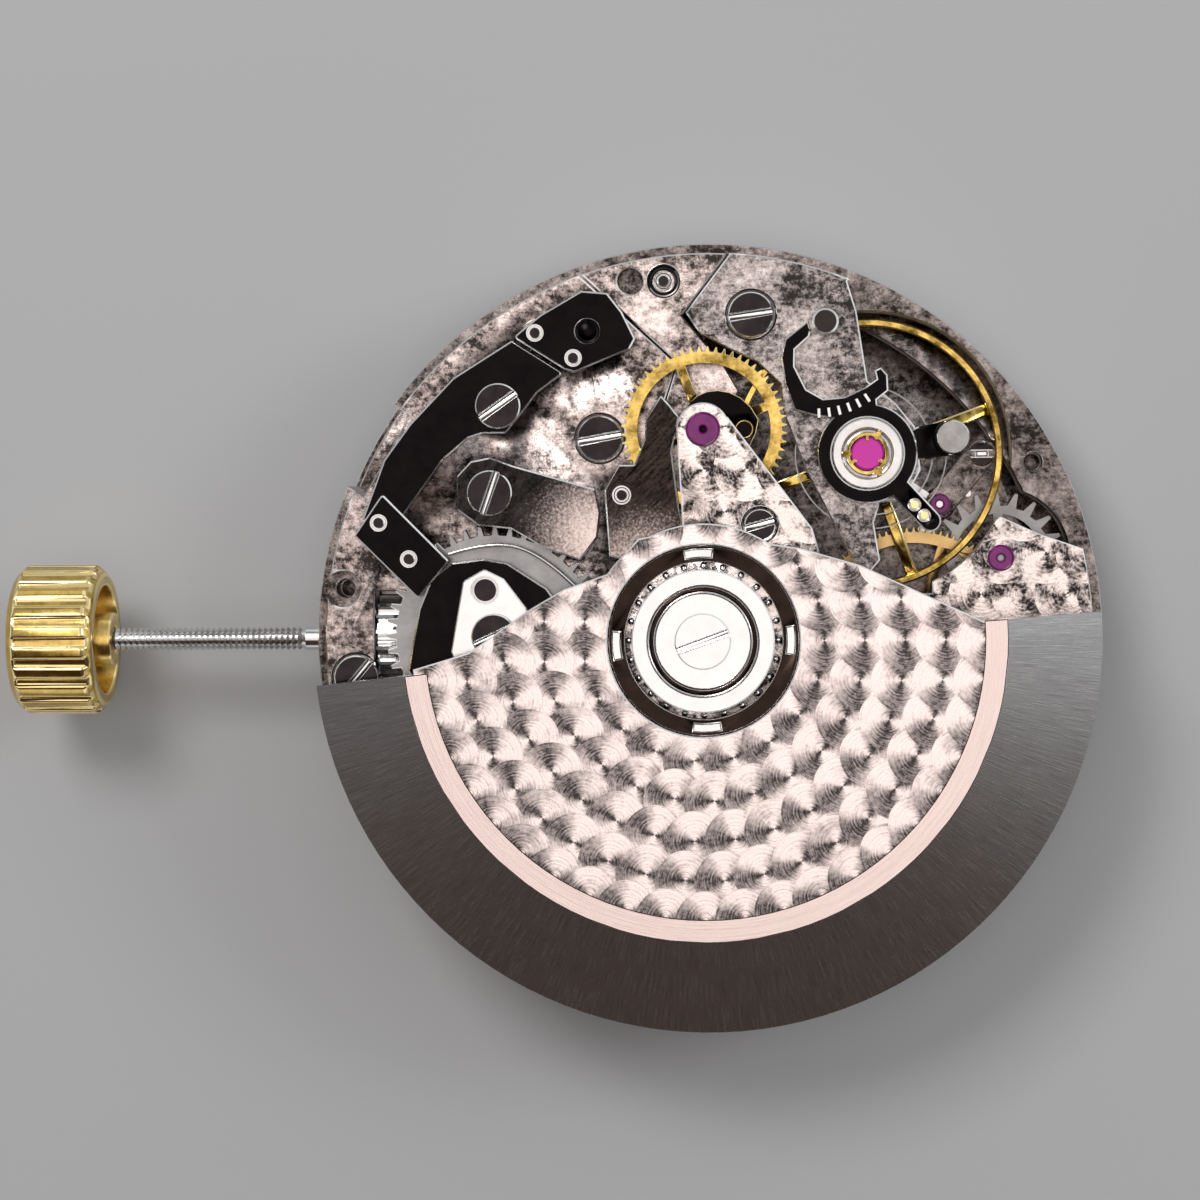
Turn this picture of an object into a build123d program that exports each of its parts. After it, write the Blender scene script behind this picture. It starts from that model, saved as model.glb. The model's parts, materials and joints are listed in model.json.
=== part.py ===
from build123d import *
import os
from math import acos, atan2, cos, degrees, hypot, radians, sin

os.makedirs("parts", exist_ok=True)

# An automatic chronograph watch movement, lying on its dial side, in millimetres.
# The origin is the middle of the dial seat, +Z points to the bridge side and the stem leaves along -X.

# Main sizes
casing_r = 15.0
flange_w = 0.20
flange_z = 0.40
flange_t = 0.50
stem_z = 3.2
total_height = 7.9

# Clearances, and how far a cutting tool runs past the face that it opens
play = 0.03
air = 0.06
cut = 0.5

# Levels from the dial seat upwards
calendar_plate_t = 0.20
ring_floor = 0.55
works_roof = 1.70
web_top = 2.40
bridge_floor = 4.20
bridge_top = 4.90
winding_z = 4.96
winding_t = 0.24
cock_top = 5.30
chrono_z = 5.32
chrono_t = 0.11
counter_z = 5.34
counter_t = 0.18
heart_z = 5.53
heart_t = 0.14
idler_z = 5.45
idler_t = 0.10
lever_floor = 5.35
lever_top = 5.75
retaining_z = 5.78
retaining_top = 5.92
spring_plate_z = 5.50
spring_plate_top = 5.80
end_plate_top = 5.80
hammer_z = 5.70
hammer_top = 5.91
cover_top = 5.65
click_plate_top = 5.85
auto_floor = 5.95
auto_top = 6.45
rotor_plate_z = 6.95
rotor_top = 7.25

# Plan of the movement: places, and the radii that follow it, as shares of the casing radius
counter_share = 0.5267
motion_share = 0.2233
chrono_r_share = 0.2413
balance_r_share = 0.3433
escape_r_share = 0.1667
balance_share = (0.410, 0.463)
pallet_share = (0.594, 0.334)
escape_share = (0.743, 0.198)
third_share = (0.420, -0.280)
second_share = (0.080, -0.430)
barrel_share = (-0.293, -0.480)
crown_wheel_share = (-0.533, 0.010)
setting_share = (-0.502, -0.067)
reversing_share = (0.053, -0.380)
date_wheel_share = (-0.270, 0.270)
click_share = (-0.610, -0.620)
idler_share = (0.0, 0.200)
stud_share = (0.623, 0.502)
eccentric_share = (0.307, 0.795)
index_tail_share = (0.566, 0.293)
index_dot_shares = [(0.527, 0.334), (0.551, 0.307)]
lever_screw_share = (-0.518, 0.591)
spring_screw_share = (-0.541, 0.372)
bridge_screw_share = (-0.266, 0.508)
cock_screw_share = (0.120, 0.815)
clamp_screw_share = (-0.895, -0.097)
auto_screw_share = (0.141, 0.287)
auto_foot_shares = [(0.373, -0.160), (0.200, -0.400)]
retaining_post_share = (-0.785, 0.228)
retaining_pin_shares = [(-0.824, 0.299), (-0.748, 0.207)]
end_pin_shares = [(-0.423, 0.774), (-0.327, 0.710)]
end_ring_share = (-0.291, 0.777)
cover_pin_share = (-0.555, 0.127)
hammer_pin_share = (-0.207, 0.364)
heart_pin_share = (0.102, 0.527)
small_hole_share = (-0.186, 0.905)
ring_pin_share = (-0.101, 0.904)
keyless_low_share = (-1.0, -0.220)
keyless_high_share = (-0.600, 0.087)


def place(share):
    """A place on the plan from its share of the casing radius."""
    return share[0] * casing_r, share[1] * casing_r


def outline(shares):
    return [place(share) for share in shares]


centre = (0, 0)
flange_r = casing_r + flange_w
counter_distance = casing_r * counter_share
seconds_at = (counter_distance, 0)
counter_at = (0, counter_distance)
balance_at = place(balance_share)
pallet_at = place(pallet_share)
escape_at = place(escape_share)
third_at = place(third_share)
second_at = place(second_share)
barrel_at = place(barrel_share)
crown_wheel_at = place(crown_wheel_share)
setting_at = place(setting_share)
reversing_at = place(reversing_share)
date_wheel_at = place(date_wheel_share)
click_at = place(click_share)
idler_at = place(idler_share)

# Tooth counts
barrel_teeth = 84
second_leaves = 12
second_teeth = 72
third_leaves = 9
third_teeth = 75
seconds_leaves = 10
seconds_teeth = 96
escape_leaves = 8
escape_teeth = 20
cannon_teeth = 12
minute_teeth = 36
minute_leaves = 10
hour_teeth = 40
intermediate_teeth = 36
setting_teeth = 22
date_leaves = 16
date_wheel_teeth = 32
date_ring_teeth = 31
winding_teeth = 18
crown_wheel_teeth = 44
ratchet_teeth = 45
reversing_leaves = 14
rotor_teeth = 64
reversing_teeth = 36
chrono_teeth = 120
idler_teeth = 36
counter_teeth = 60
clutch_leaves = 10

# Tooth form, as shares of the module
addendum_share = 0.8
dedendum_share = 1.1


def gap_between(a, b):
    return hypot(b[0] - a[0], b[1] - a[1])


def bearing(a, b):
    return degrees(atan2(b[1] - a[1], b[0] - a[0]))


def around(middle, radius, angle):
    """The point at this radius and angle, in degrees, from the middle."""
    return middle[0] + radius * cos(radians(angle)), middle[1] + radius * sin(radians(angle))


def meeting_point(a, reach_a, b, reach_b, side):
    """The point at reach_a from a and reach_b from b, left (side 1) or right (side -1) of a to b."""
    base = gap_between(a, b)
    corner = degrees(acos((reach_a**2 + base**2 - reach_b**2) / (2 * reach_a * base)))
    return around(a, reach_a, bearing(a, b) + side * corner)


def shared_radius(a, b, teeth, other_teeth):
    """Pitch radius of the first of two wheels in mesh."""
    return gap_between(a, b) * teeth / (teeth + other_teeth)


def tip_radius(teeth, pitch_r):
    return pitch_r * (1 + 2 * addendum_share / teeth)


def root_radius(teeth, pitch_r):
    return pitch_r * (1 - 2 * dedendum_share / teeth)


def mesh_phase(lead_at, lead_teeth, lead_phase, at, teeth):
    """Angle of a tooth of the follower that fits it into the gaps of the wheel before it."""
    direction = bearing(lead_at, at)
    late = (direction - lead_phase) % (360 / lead_teeth)
    return direction + 180 + late * lead_teeth / teeth + 180 / teeth


# Basic solids
def cylinder(at, radius, low, high):
    return extrude(Pos(at[0], at[1], low) * Circle(radius), amount=high - low)


def ring(at, outer, inner, low, high):
    return extrude(Pos(at[0], at[1], low) * (Circle(outer) - Circle(inner)), amount=high - low)


def flat(points, corner_r=0):
    if corner_r:
        return make_face(FilletPolyline(*points, radius=corner_r, close=True))
    return make_face(Polyline(*points, close=True))


def plate(points, low, high, corner_r=0):
    return extrude(Pos(0, 0, low) * flat(points, corner_r), amount=high - low)


def bar(start, end, width, low, high):
    """A straight bar with round ends between two places."""
    length = gap_between(start, end)
    face = Pos(length / 2, 0) * Rectangle(length, width) + Circle(width / 2)
    face += Pos(length, 0) * Circle(width / 2)
    return extrude(Pos(start[0], start[1], low) * Rot(0, 0, bearing(start, end)) * face, amount=high - low)


def block(low, high):
    """A box from its lowest and highest corners."""
    sizes = [b - a for a, b in zip(low, high)]
    middle = [(a + b) / 2 for a, b in zip(low, high)]
    return Pos(*middle) * Box(*sizes)


def along_stem(radius, start, end):
    """A round bar on the stem's axis, between two places along X."""
    return Pos(start, 0, stem_z) * Rot(0, 90, 0) * extrude(Circle(radius), amount=end - start)


def gear_face(teeth, pitch_r, phase=0, root_share=0.50, tip_share=0.22):
    """The outline of a toothed wheel about its own middle."""
    tip_r = tip_radius(teeth, pitch_r)
    root_r = root_radius(teeth, pitch_r)
    step = 360 / teeth
    points = []
    for number in range(teeth):
        middle = phase + number * step
        points.append(around(centre, root_r, middle - step * root_share / 2))
        points.append(around(centre, tip_r, middle - step * tip_share / 2))
        points.append(around(centre, tip_r, middle + step * tip_share / 2))
        points.append(around(centre, root_r, middle + step * root_share / 2))
    return flat(points)


def gear(at, teeth, pitch_r, phase, low, high, bore_r=0):
    face = gear_face(teeth, pitch_r, phase)
    if bore_r:
        face -= Circle(bore_r)
    return extrude(Pos(at[0], at[1], low) * face, amount=high - low)


def arm_windows(at, arms, outer, inner, arm_w, low, high, turn=0):
    """The openings between the arms of a wheel."""
    opening = Circle(outer) - Circle(inner)
    for number in range(arms):
        arm = Pos((outer + inner) / 2, 0) * Rectangle(outer, arm_w)
        opening -= Rot(0, 0, turn + 360 * number / arms) * arm
    return extrude(Pos(at[0], at[1], low) * opening, amount=high - low)


def save(name, *pieces):
    """Write one node, as one solid or as a group of separate solids."""
    solids = [solid for piece in pieces for solid in piece.solids()]
    shape = solids[0] if len(solids) == 1 else Compound(children=solids)
    shape.label = name
    export_step(shape, f"parts/{name}.step")


# Jewels, pivots and arbors
jewel_r = 0.60
jewel_t = 0.40
escape_jewel_r = 0.46
pallet_jewel_r = 0.38
pivot_r = 0.10
arbor_r = 0.20
post_r = 0.20
lower_jewel_z = web_top - jewel_t
upper_jewel_z = bridge_top - jewel_t
auto_jewel_z = auto_top - jewel_t
shake = play / 2
centre_jewel_t = 0.22
centre_jewel_top = auto_floor + centre_jewel_t
jewels = []


def jewel(at, low, hole_r=pivot_r, outer=jewel_r, thick=jewel_t):
    jewels.append(ring(at, outer, hole_r + play, low, low + thick))


def hand_post(at, seat_r, end, seat_end, shaft_r, top):
    """A shaft that starts with a straight seat for a hand and tapers out above it."""
    body = cylinder(at, seat_r, end, seat_end)
    taper = Cone(seat_r, shaft_r, taper_length)
    body += Pos(at[0], at[1], seat_end + taper_length / 2) * taper
    return body + cylinder(at, shaft_r, seat_end + taper_length, top)


def arbor(at, low, high, radius=arbor_r):
    """A shaft between two jewels, with a pivot in each."""
    body = cylinder(at, radius, low + shake, high - shake)
    body += cylinder(at, pivot_r, low - jewel_t / 2, low + shake)
    return body + cylinder(at, pivot_r, high - shake, high + jewel_t / 2)


# Going train: pitch radii from the plan and the tooth counts
barrel_r = shared_radius(barrel_at, second_at, barrel_teeth, second_leaves)
second_pinion_r = barrel_r * second_leaves / barrel_teeth
second_r = shared_radius(second_at, third_at, second_teeth, third_leaves)
third_pinion_r = second_r * third_leaves / second_teeth
third_r = shared_radius(third_at, seconds_at, third_teeth, seconds_leaves)
seconds_pinion_r = third_r * seconds_leaves / third_teeth
seconds_r = shared_radius(seconds_at, escape_at, seconds_teeth, escape_leaves)
escape_pinion_r = seconds_r * escape_leaves / seconds_teeth
escape_r = casing_r * escape_r_share
third_phase = mesh_phase(seconds_at, seconds_leaves, 0, third_at, third_teeth)
second_phase = mesh_phase(third_at, third_leaves, third_phase, second_at, second_teeth)
barrel_phase = mesh_phase(second_at, second_leaves, second_phase, barrel_at, barrel_teeth)
escape_phase = mesh_phase(seconds_at, seconds_teeth, 0, escape_at, escape_leaves)

# Levels in the train room
wheel_t = 0.16
escape_wheel_z = 2.55
escape_wheel_t = 0.13
seconds_wheel_z = 2.95
third_wheel_z = 3.42
second_wheel_z = 3.85
barrel_z = 2.50
barrel_teeth_t = 0.35
barrel_top = 3.70
pinion_margin = 0.08
arm_w = 0.36
rim_w = 0.45
hub_r = 0.75
escape_hub_r = 0.52
escape_rim_share = 0.66
escape_tooth_shares = [(1, 0), (1, 0.16), (0.80, 0.40), (0.78, 0.85)]

# Barrel
barrel_wall = 0.22
drum_step = 0.21
barrel_drum_r = root_radius(barrel_teeth, barrel_r) - drum_step
barrel_hub_r = 1.30
barrel_foot_r = 0.80
journal_r = 0.45
ratchet_square = 0.60
mainspring_t = 0.12
mainspring_pitch = 0.53
mainspring_half_turns = 10
mainspring_start_r = 1.55

# Dial side
motion_distance = casing_r * motion_share
cannon_r = motion_distance * cannon_teeth / (cannon_teeth + minute_teeth)
minute_r = motion_distance - cannon_r
minute_pinion_r = motion_distance * minute_leaves / (minute_leaves + hour_teeth)
hour_r = motion_distance - minute_pinion_r
motion_module = 2 * cannon_r / cannon_teeth
intermediate_r = motion_module * intermediate_teeth / 2
setting_r = motion_module * setting_teeth / 2
minute_at = meeting_point(centre, motion_distance, second_at, motion_distance, 1)
intermediate_at = meeting_point(
    minute_at, minute_r + intermediate_r, setting_at, intermediate_r + setting_r, 1
)
date_wheel_r = shared_radius(date_wheel_at, centre, date_wheel_teeth, date_leaves)
date_pinion_r = date_wheel_r * date_leaves / date_wheel_teeth
minute_wheel_z = 1.20
minute_wheel_t = 0.24
setting_top = 2.25
hour_wheel_z = 0.74
hour_wheel_t = 0.20
date_pinion_z = 0.46
date_pinion_t = 0.16
centre_arbor_r = 0.18
centre_tube_r = 0.45
centre_tube_end = -0.30
cannon_pipe_r = 0.65
hour_pipe_r = 1.04

# Posts for the hands: each seat is straight, and the shaft above it tapers out
hour_seat_r = 1.00
cannon_seat_r = 0.61
centre_seat_r = 0.16
counter_seat_r = 0.16
hour_post_end = -0.50
cannon_post_end = -0.90
centre_post_end = -1.20
counter_post_end = -0.80
taper_length = 0.60
stud_r = 0.30
minute_phase = mesh_phase(second_at, cannon_teeth, 0, minute_at, minute_teeth)
cannon_phase = mesh_phase(minute_at, minute_teeth, minute_phase, centre, cannon_teeth)
hour_phase = mesh_phase(minute_at, minute_leaves, minute_phase, centre, hour_teeth)
intermediate_phase = mesh_phase(minute_at, minute_teeth, minute_phase, intermediate_at, intermediate_teeth)
setting_phase = mesh_phase(
    intermediate_at, intermediate_teeth, intermediate_phase, setting_at, setting_teeth
)
date_phase = mesh_phase(centre, date_leaves, hour_phase, date_wheel_at, date_wheel_teeth)

# Calendar
date_ring_rim = 1.40
date_ring_w = 3.00
date_ring_outer = casing_r - date_ring_rim
date_ring_inner = date_ring_outer - date_ring_w
date_tooth = 0.40
date_tooth_w = 0.30
date_ring_z = 0.25
date_ring_t = 0.22
ring_gap = 0.10
calendar_lap = 0.40
calendar_plate_r = date_ring_inner + calendar_lap
calendar_boss_share = 0.53
calendar_boss_r = 0.85
calendar_boss_angles = (55, 225, 325)
seat_inner_r = date_ring_outer + ring_gap
room_wall = 0.50
room_r = seat_inner_r - room_wall
works_r = date_ring_inner - 1.5 * date_tooth
calendar_head_t = 0.10
calendar_screw_top = 0.90
date_finger_z = 0.28
date_finger_w = 0.40
date_finger_angle = 225
date_finger_r = date_ring_inner - 0.9 * date_tooth - gap_between(centre, date_wheel_at)

# Winding works
crown_wheel_r = shared_radius(crown_wheel_at, barrel_at, crown_wheel_teeth, ratchet_teeth)
ratchet_r = gap_between(crown_wheel_at, barrel_at) - crown_wheel_r
winding_module = 2 * crown_wheel_r / crown_wheel_teeth
winding_pinion_r = winding_module * winding_teeth / 2
winding_pinion_x = crown_wheel_at[0] - crown_wheel_r
winding_pinion_t = 1.20
winding_start = winding_pinion_x - winding_pinion_t / 2
winding_end = winding_pinion_x + winding_pinion_t / 2
reversing_pinion_r = gap_between(reversing_at, barrel_at) - ratchet_r
rotor_gear_r = shared_radius(centre, reversing_at, rotor_teeth, reversing_teeth)
reversing_r = gap_between(centre, reversing_at) - rotor_gear_r
crown_core_r = 0.80
ratchet_phase = mesh_phase(crown_wheel_at, crown_wheel_teeth, 0, barrel_at, ratchet_teeth)
reversing_phase = mesh_phase(barrel_at, ratchet_teeth, ratchet_phase, reversing_at, reversing_leaves)
reversing_top_phase = mesh_phase(centre, rotor_teeth, 0, reversing_at, reversing_teeth)

# Stem, with the sliding and winding pinions on it
stem_collar_r = 0.60
stem_neck_r = 0.30
stem_seat_r = 0.50
stem_square = 0.68
stem_pilot_r = 0.30
stem_travel = 0.90
stem_thread_r = 0.45
thread_pitch = 0.225
thread_depth = 0.09
stem_collar_out = 0.60
stem_reach = 10.00
thread_start = -casing_r - stem_collar_out
thread_end = -casing_r - stem_reach
stem_groove_in = 1.775
stem_groove_x = stem_groove_in - casing_r
stem_groove_w = 0.45
sliding_travel = 0.80
sliding_start = winding_end + air
sliding_length = 1.30
sliding_end = sliding_start + sliding_length
sliding_r = 1.05
sliding_root_r = 0.80
sliding_groove_r = 0.70
sliding_groove_w = 0.40
sliding_groove_x = sliding_start + sliding_length * 0.55
sliding_face_teeth = 12
sliding_face_t = 0.25
pilot_start = sliding_end + sliding_travel + air
pilot_length = 1.70

# Crown
crown_r = 2.90
crown_length = 3.40
crown_stand = 8.50
crown_inner_x = -casing_r - crown_stand
crown_outer_x = crown_inner_x - crown_length
crown_ridges = 22
crown_groove_w = 0.36
crown_groove_t = 0.17
crown_recess_r = 2.10
crown_recess_t = 1.10
crown_pipe_r = 1.05
crown_pipe_out = 0.35
crown_chamfer = 0.35

# Balance and escapement
balance_r = casing_r * balance_r_share
balance_rim_w = 0.30
balance_rim_z = 3.42
balance_rim_top = 3.94
balance_arm_w = 0.45
balance_arm_z = 3.55
balance_arm_top = 3.76
balance_arm_turn = 20
balance_hub_r = 0.62
well_gap = 0.27
well_r = balance_r + well_gap
roller_r = 0.78
roller_z = 2.95
roller_top = 3.12
impulse_r = 0.09
impulse_reach = 0.55
impulse_low = 2.75
fork_z = 2.56
fork_top = 2.69
fork_w = 0.24
stone_w = 0.26
stone_length = 0.55
stone_gap = 0.07
stone_half_angle = 22.5
pallet_bridge_z = 2.90
pallet_bridge_top = 3.25
pallet_foot_reach = 2.50
pallet_foot_angle = 50
pallet_foot_r = 0.55
pallet_foot_at = around(pallet_at, pallet_foot_reach, pallet_foot_angle)
pallet_screw_length = 1.20
hairspring_z = 4.36
hairspring_h = 0.14
hairspring_t = 0.05
hairspring_pitch = 0.52
hairspring_half_turns = 9
hairspring_start_r = 0.78
collet_r = 0.58

# Shock setting and regulator, on the balance cock
shock_r = 1.32
shock_inner_r = 0.95
shock_top = 5.70
shock_floor = 5.12
shock_jewel_r = 0.62
shock_jewel_z = 5.34
shock_jewel_top = 5.58
lyre_t = 0.05
lyre_r = 0.80
lyre_w = 0.13
stud_ring_z = 5.32
stud_ring_top = 5.44
index_z = 5.46
index_top = 5.60
index_ring_r = 1.88
index_tail_w = 0.80
curb_r = 0.20
stud_at = place(stud_share)
stud_head_r = 0.64
stud_head_top = 5.62
stud_foot_r = 0.30
eccentric_r = 0.50
eccentric_at = place(eccentric_share)

# Rotor
weight_gap = 0.17
weight_bevel_w = 3.52
weight_land_w = 0.31
weight_lap_w = 0.55
weight_outer_r = casing_r - weight_gap
weight_inner_r = weight_outer_r - weight_bevel_w
weight_lap_r = weight_inner_r - weight_land_w
groove_r = weight_lap_r - weight_lap_w
weight_floor = 6.10
weight_edge_z = 6.34
weight_land_z = 7.30
weight_start_angle = 186.5
weight_sweep = 177.3
rotor_hub_r = 4.38
rotor_hole_r = 3.60
race_inner_r = 2.95
race_z = 6.52
race_gear_top = 6.78
race_top = 7.06
tab_r = 3.12
tab_w = 0.30
tab_top = 7.20
tab_angles = (0, 93, 183, 272)
tab_spread = 18
hub_race_r = 2.67
hub_race_top = 7.62
hub_groove_outer = 2.07
hub_groove_inner = 1.80
hub_groove_t = 0.10
auto_post_r = 0.85
auto_hub_r = 3.88
ball_r = 0.13
ball_count = 24

# Screws and pins
big_head_r = 0.86
small_head_r = 0.60
head_t = 0.20
sunk = 0.15
slot_w = 0.22
slot_t = 0.10
shank_share = 0.42
shank_length = 1.30
rotor_screw_r = 1.05
rotor_screw_length = 0.67
rotor_screw_hole = 0.92
pin_r = 0.27
boss_r = 0.75
screws = []
pins = []


def screw(at, seat, head_r, turn, length=shank_length, high=head_t):
    """A slotted screw with its head on the seat."""
    slot = Box(3 * head_r, slot_w, 2 * slot_t)
    head = cylinder(at, head_r, seat, seat + high) - Pos(at[0], at[1], seat + high) * Rot(0, 0, turn) * slot
    screws.append(head + cylinder(at, head_r * shank_share, seat - length, seat))


def screw_hole(at, seat, head_r, length=shank_length):
    """The room that a screw and its head need."""
    hole = cylinder(at, head_r * shank_share + play, seat - length - air, seat + cut)
    return hole + cylinder(at, head_r + sunk / 2, seat, seat + 2 * cut)


def pin(at, low, high, radius=pin_r):
    pins.append(cylinder(at, radius, low, high))


lever_screw_at = place(lever_screw_share)
spring_screw_at = place(spring_screw_share)
bridge_screw_at = place(bridge_screw_share)
cock_screw_at = place(cock_screw_share)
clamp_screw_at = place(clamp_screw_share)
auto_screw_at = place(auto_screw_share)
auto_foot_places = [auto_screw_at] + outline(auto_foot_shares)
auto_foot_r = 0.50
auto_screw_length = 2.00
retaining_post_at = place(retaining_post_share)
retaining_post_r = 0.42
retaining_pins = outline(retaining_pin_shares)
end_pins = outline(end_pin_shares)
end_ring_at = place(end_ring_share)
end_boss_r = 0.52
end_ring_hole_r = 0.43
cover_pin_at = place(cover_pin_share)
cover_pin_r = 0.50
hammer_pin_at = place(hammer_pin_share)
heart_pin_at = place(heart_pin_share)
heart_pin_r = 0.32
pillar_r = 0.95
pillar_inset = 2.0
pillar_reach = casing_r - pillar_inset
pillar_angles = (208, 305, 335)
rim_pillars = [around(centre, pillar_reach, angle) for angle in pillar_angles]
small_hole_at = place(small_hole_share)
small_hole_r = 0.49
ring_pin_at = place(ring_pin_share)
ring_pin_r = 0.60
bridge_seat = bridge_top - sunk
cock_seat = cock_top - sunk
auto_seat = auto_top - head_t

# Keyless works
keyless_z = 1.00
keyless_t = 0.24
keyless_pin_r = 0.15
edge_step = 0.40
bridge_edge_r = casing_r - edge_step
keyless_low_at = place(keyless_low_share)
keyless_high_at = place(keyless_high_share)
setting_pin_top = 2.85
setting_lever_w = 0.80
setting_pivot = (stem_groove_x - stem_travel / 2, -2.20)
yoke_pin_top = 2.44
yoke_w = 0.70
yoke_pivot = (sliding_groove_x + sliding_travel / 2, -2.60)
pivot_post_r = 0.25
stem_block_half_w = 2.30

# Case interfaces
dial_foot_r = 0.38
dial_foot_depth = 1.40
dial_foot_inset = 0.68
dial_foot_reach = casing_r - dial_foot_inset
dial_foot_angles = (62, 242)
clamp_hole_r = 0.35
clamp_room_r = 0.70
clamp_hole_depth = 1.10
clamp_inset = 0.95
clamp_reach = casing_r - clamp_inset
clamp_angles = (28, 172)
pusher_angles = (150, 210)
pusher_w = 3.60
pusher_z = 1.10

# Outlines of bridges and levers, as shares of the casing radius
cock_shares = [
    (0.078, 1.10), (0.500, 1.10), (0.362, 0.895), (0.385, 0.819), (0.411, 0.645), (0.480, 0.590),
    (0.529, 0.530), (0.543, 0.421), (0.500, 0.345), (0.441, 0.339), (0.425, 0.290), (0.440, 0.195),
    (0.398, 0.145), (0.257, 0.419), (0.200, 0.568), (0.193, 0.640), (0.133, 0.697), (0.059, 0.732),
    (-0.009, 0.769), (-0.045, 0.822), (0.066, 0.966),
]
chrono_plate_shares = [
    (-0.345, 1.10), (-0.345, 0.962), (-0.305, 0.919), (-0.066, 0.697), (-0.110, 0.560), (-0.110, 0.345),
    (0.120, 0.345), (0.125, 0.560), (0.050, 0.690), (-0.056, 0.816), (0.057, 0.966), (0.068, 1.10),
]
train_bridge_shares = [
    (-0.118, 0.325), (0.180, 0.325), (0.300, 0.110), (0.571, 0.110), (0.571, 0.174), (0.679, 0.281),
    (0.744, 0.301), (0.841, 0.257), (0.951, 0.219), (1.10, 0.219), (1.10, -1.10), (-0.045, -1.10),
    (-0.045, -0.240), (-0.118, -0.100),
]
barrel_bridge_shares = [
    (-0.351, 1.10), (-0.351, 0.960), (-0.310, 0.915), (-0.071, 0.693), (-0.115, 0.560), (-0.115, 0.335),
    (-0.123, 0.325), (-0.123, -0.100), (-0.050, -0.242), (-0.050, -1.10), (-1.10, -1.10), (-1.10, 1.10),
]
auto_arm_shares = [(-0.066, 0.530), (-0.050, 0.240), (0.300, 0.180), (0.271, 0.278), (0.062, 0.557)]
auto_lower_shares = [
    (-0.150, 0.0), (0.150, 0.140), (0.450, -0.110), (0.430, -0.230), (0.290, -0.260), (0.270, -0.450),
    (0.120, -0.470), (-0.060, -0.450), (-0.120, -0.300), (-0.220, -0.160),
]
lever_shares = [
    (-0.482, 0.756), (-0.352, 0.673), (-0.419, 0.623), (-0.456, 0.575), (-0.500, 0.522), (-0.560, 0.522),
    (-0.595, 0.511), (-0.659, 0.457), (-0.753, 0.329), (-0.791, 0.281), (-0.867, 0.307), (-0.810, 0.458),
    (-0.743, 0.548), (-0.632, 0.663),
]
end_plate_shares = [
    (-0.478, 0.764), (-0.409, 0.819), (-0.305, 0.878), (-0.240, 0.872), (-0.203, 0.824), (-0.170, 0.756),
    (-0.185, 0.730), (-0.323, 0.674), (-0.350, 0.682),
]
retaining_shares = [(-0.814, 0.372), (-0.645, 0.201), (-0.725, 0.106), (-0.887, 0.267)]
spring_plate_shares = [
    (-0.541, 0.462), (-0.480, 0.440), (-0.275, 0.380), (-0.262, 0.320), (-0.270, 0.258), (-0.314, 0.201),
    (-0.402, 0.230), (-0.488, 0.281), (-0.571, 0.290), (-0.625, 0.330), (-0.625, 0.415), (-0.590, 0.452),
]
hammer_shares = [
    (-0.250, 0.377), (-0.240, 0.210), (-0.090, 0.175), (-0.058, 0.293), (-0.080, 0.470), (-0.062, 0.560),
    (-0.085, 0.590), (-0.107, 0.613), (-0.145, 0.555), (-0.148, 0.505), (-0.175, 0.440), (-0.215, 0.440),
]
cover_shares = [
    (-0.755, -0.080), (-0.741, 0.001), (-0.725, 0.080), (-0.694, 0.155), (-0.640, 0.196), (-0.558, 0.205),
    (-0.500, 0.195), (-0.400, 0.130), (-0.350, 0.060), (-0.367, -0.020), (-0.572, -0.140), (-0.699, -0.151),
]
click_plate_shares = [
    (-0.643, -0.029), (-0.611, 0.150), (-0.557, 0.180), (-0.507, 0.155), (-0.451, 0.081), (-0.417, 0.0),
    (-0.519, -0.110), (-0.620, -0.090),
]
wire_shares = [(-0.648, 0.218), (-0.560, 0.238), (-0.481, 0.236), (-0.403, 0.198), (-0.330, 0.136)]
wire_r = 0.07
wire_z = 5.56
index_shares = [
    (0.280, 0.809), (0.206, 0.752), (0.195, 0.705), (0.205, 0.636), (0.229, 0.573), (0.279, 0.559),
    (0.326, 0.551), (0.437, 0.560), (0.434, 0.597), (0.463, 0.620), (0.461, 0.659), (0.445, 0.678),
    (0.429, 0.670), (0.434, 0.649), (0.405, 0.629), (0.353, 0.605), (0.300, 0.601), (0.258, 0.625),
    (0.229, 0.683), (0.230, 0.725), (0.266, 0.757),
]
rotor_edge_shares = [
    (-0.800, -0.090), (-0.587, -0.027), (-0.438, 0.078), (-0.348, 0.130), (-0.240, 0.167), (-0.160, 0.255),
    (0.0, 0.285), (0.167, 0.240), (0.241, 0.229), (0.389, 0.186), (0.693, 0.045), (0.800, 0.040),
]

# Clutch pinion between the seconds wheel and the chronograph wheel
chrono_r = casing_r * chrono_r_share
clutch_lower_r = seconds_r * clutch_leaves / seconds_teeth
clutch_upper_r = 0.28
clutch_top = 5.44
clutch_gap = 0.24
clutch_at = meeting_point(
    seconds_at, seconds_r + clutch_lower_r, centre, chrono_r + clutch_upper_r + clutch_gap, -1
)
clutch_phase = mesh_phase(seconds_at, seconds_teeth, 0, clutch_at, clutch_leaves)

# Minute counter and its idler
idler_r = shared_radius(idler_at, counter_at, idler_teeth, counter_teeth)
counter_r = gap_between(idler_at, counter_at) - idler_r
counter_phase = mesh_phase(idler_at, idler_teeth, 0, counter_at, counter_teeth)
finger_r = gap_between(centre, idler_at) - tip_radius(idler_teeth, idler_r) - play
finger_w = 0.30
finger_z = 5.44
chrono_hub_r = 0.40
heart_low_r = 0.50
heart_high_r = 2.10
heart_turn = 10
heart_points = 12


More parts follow.
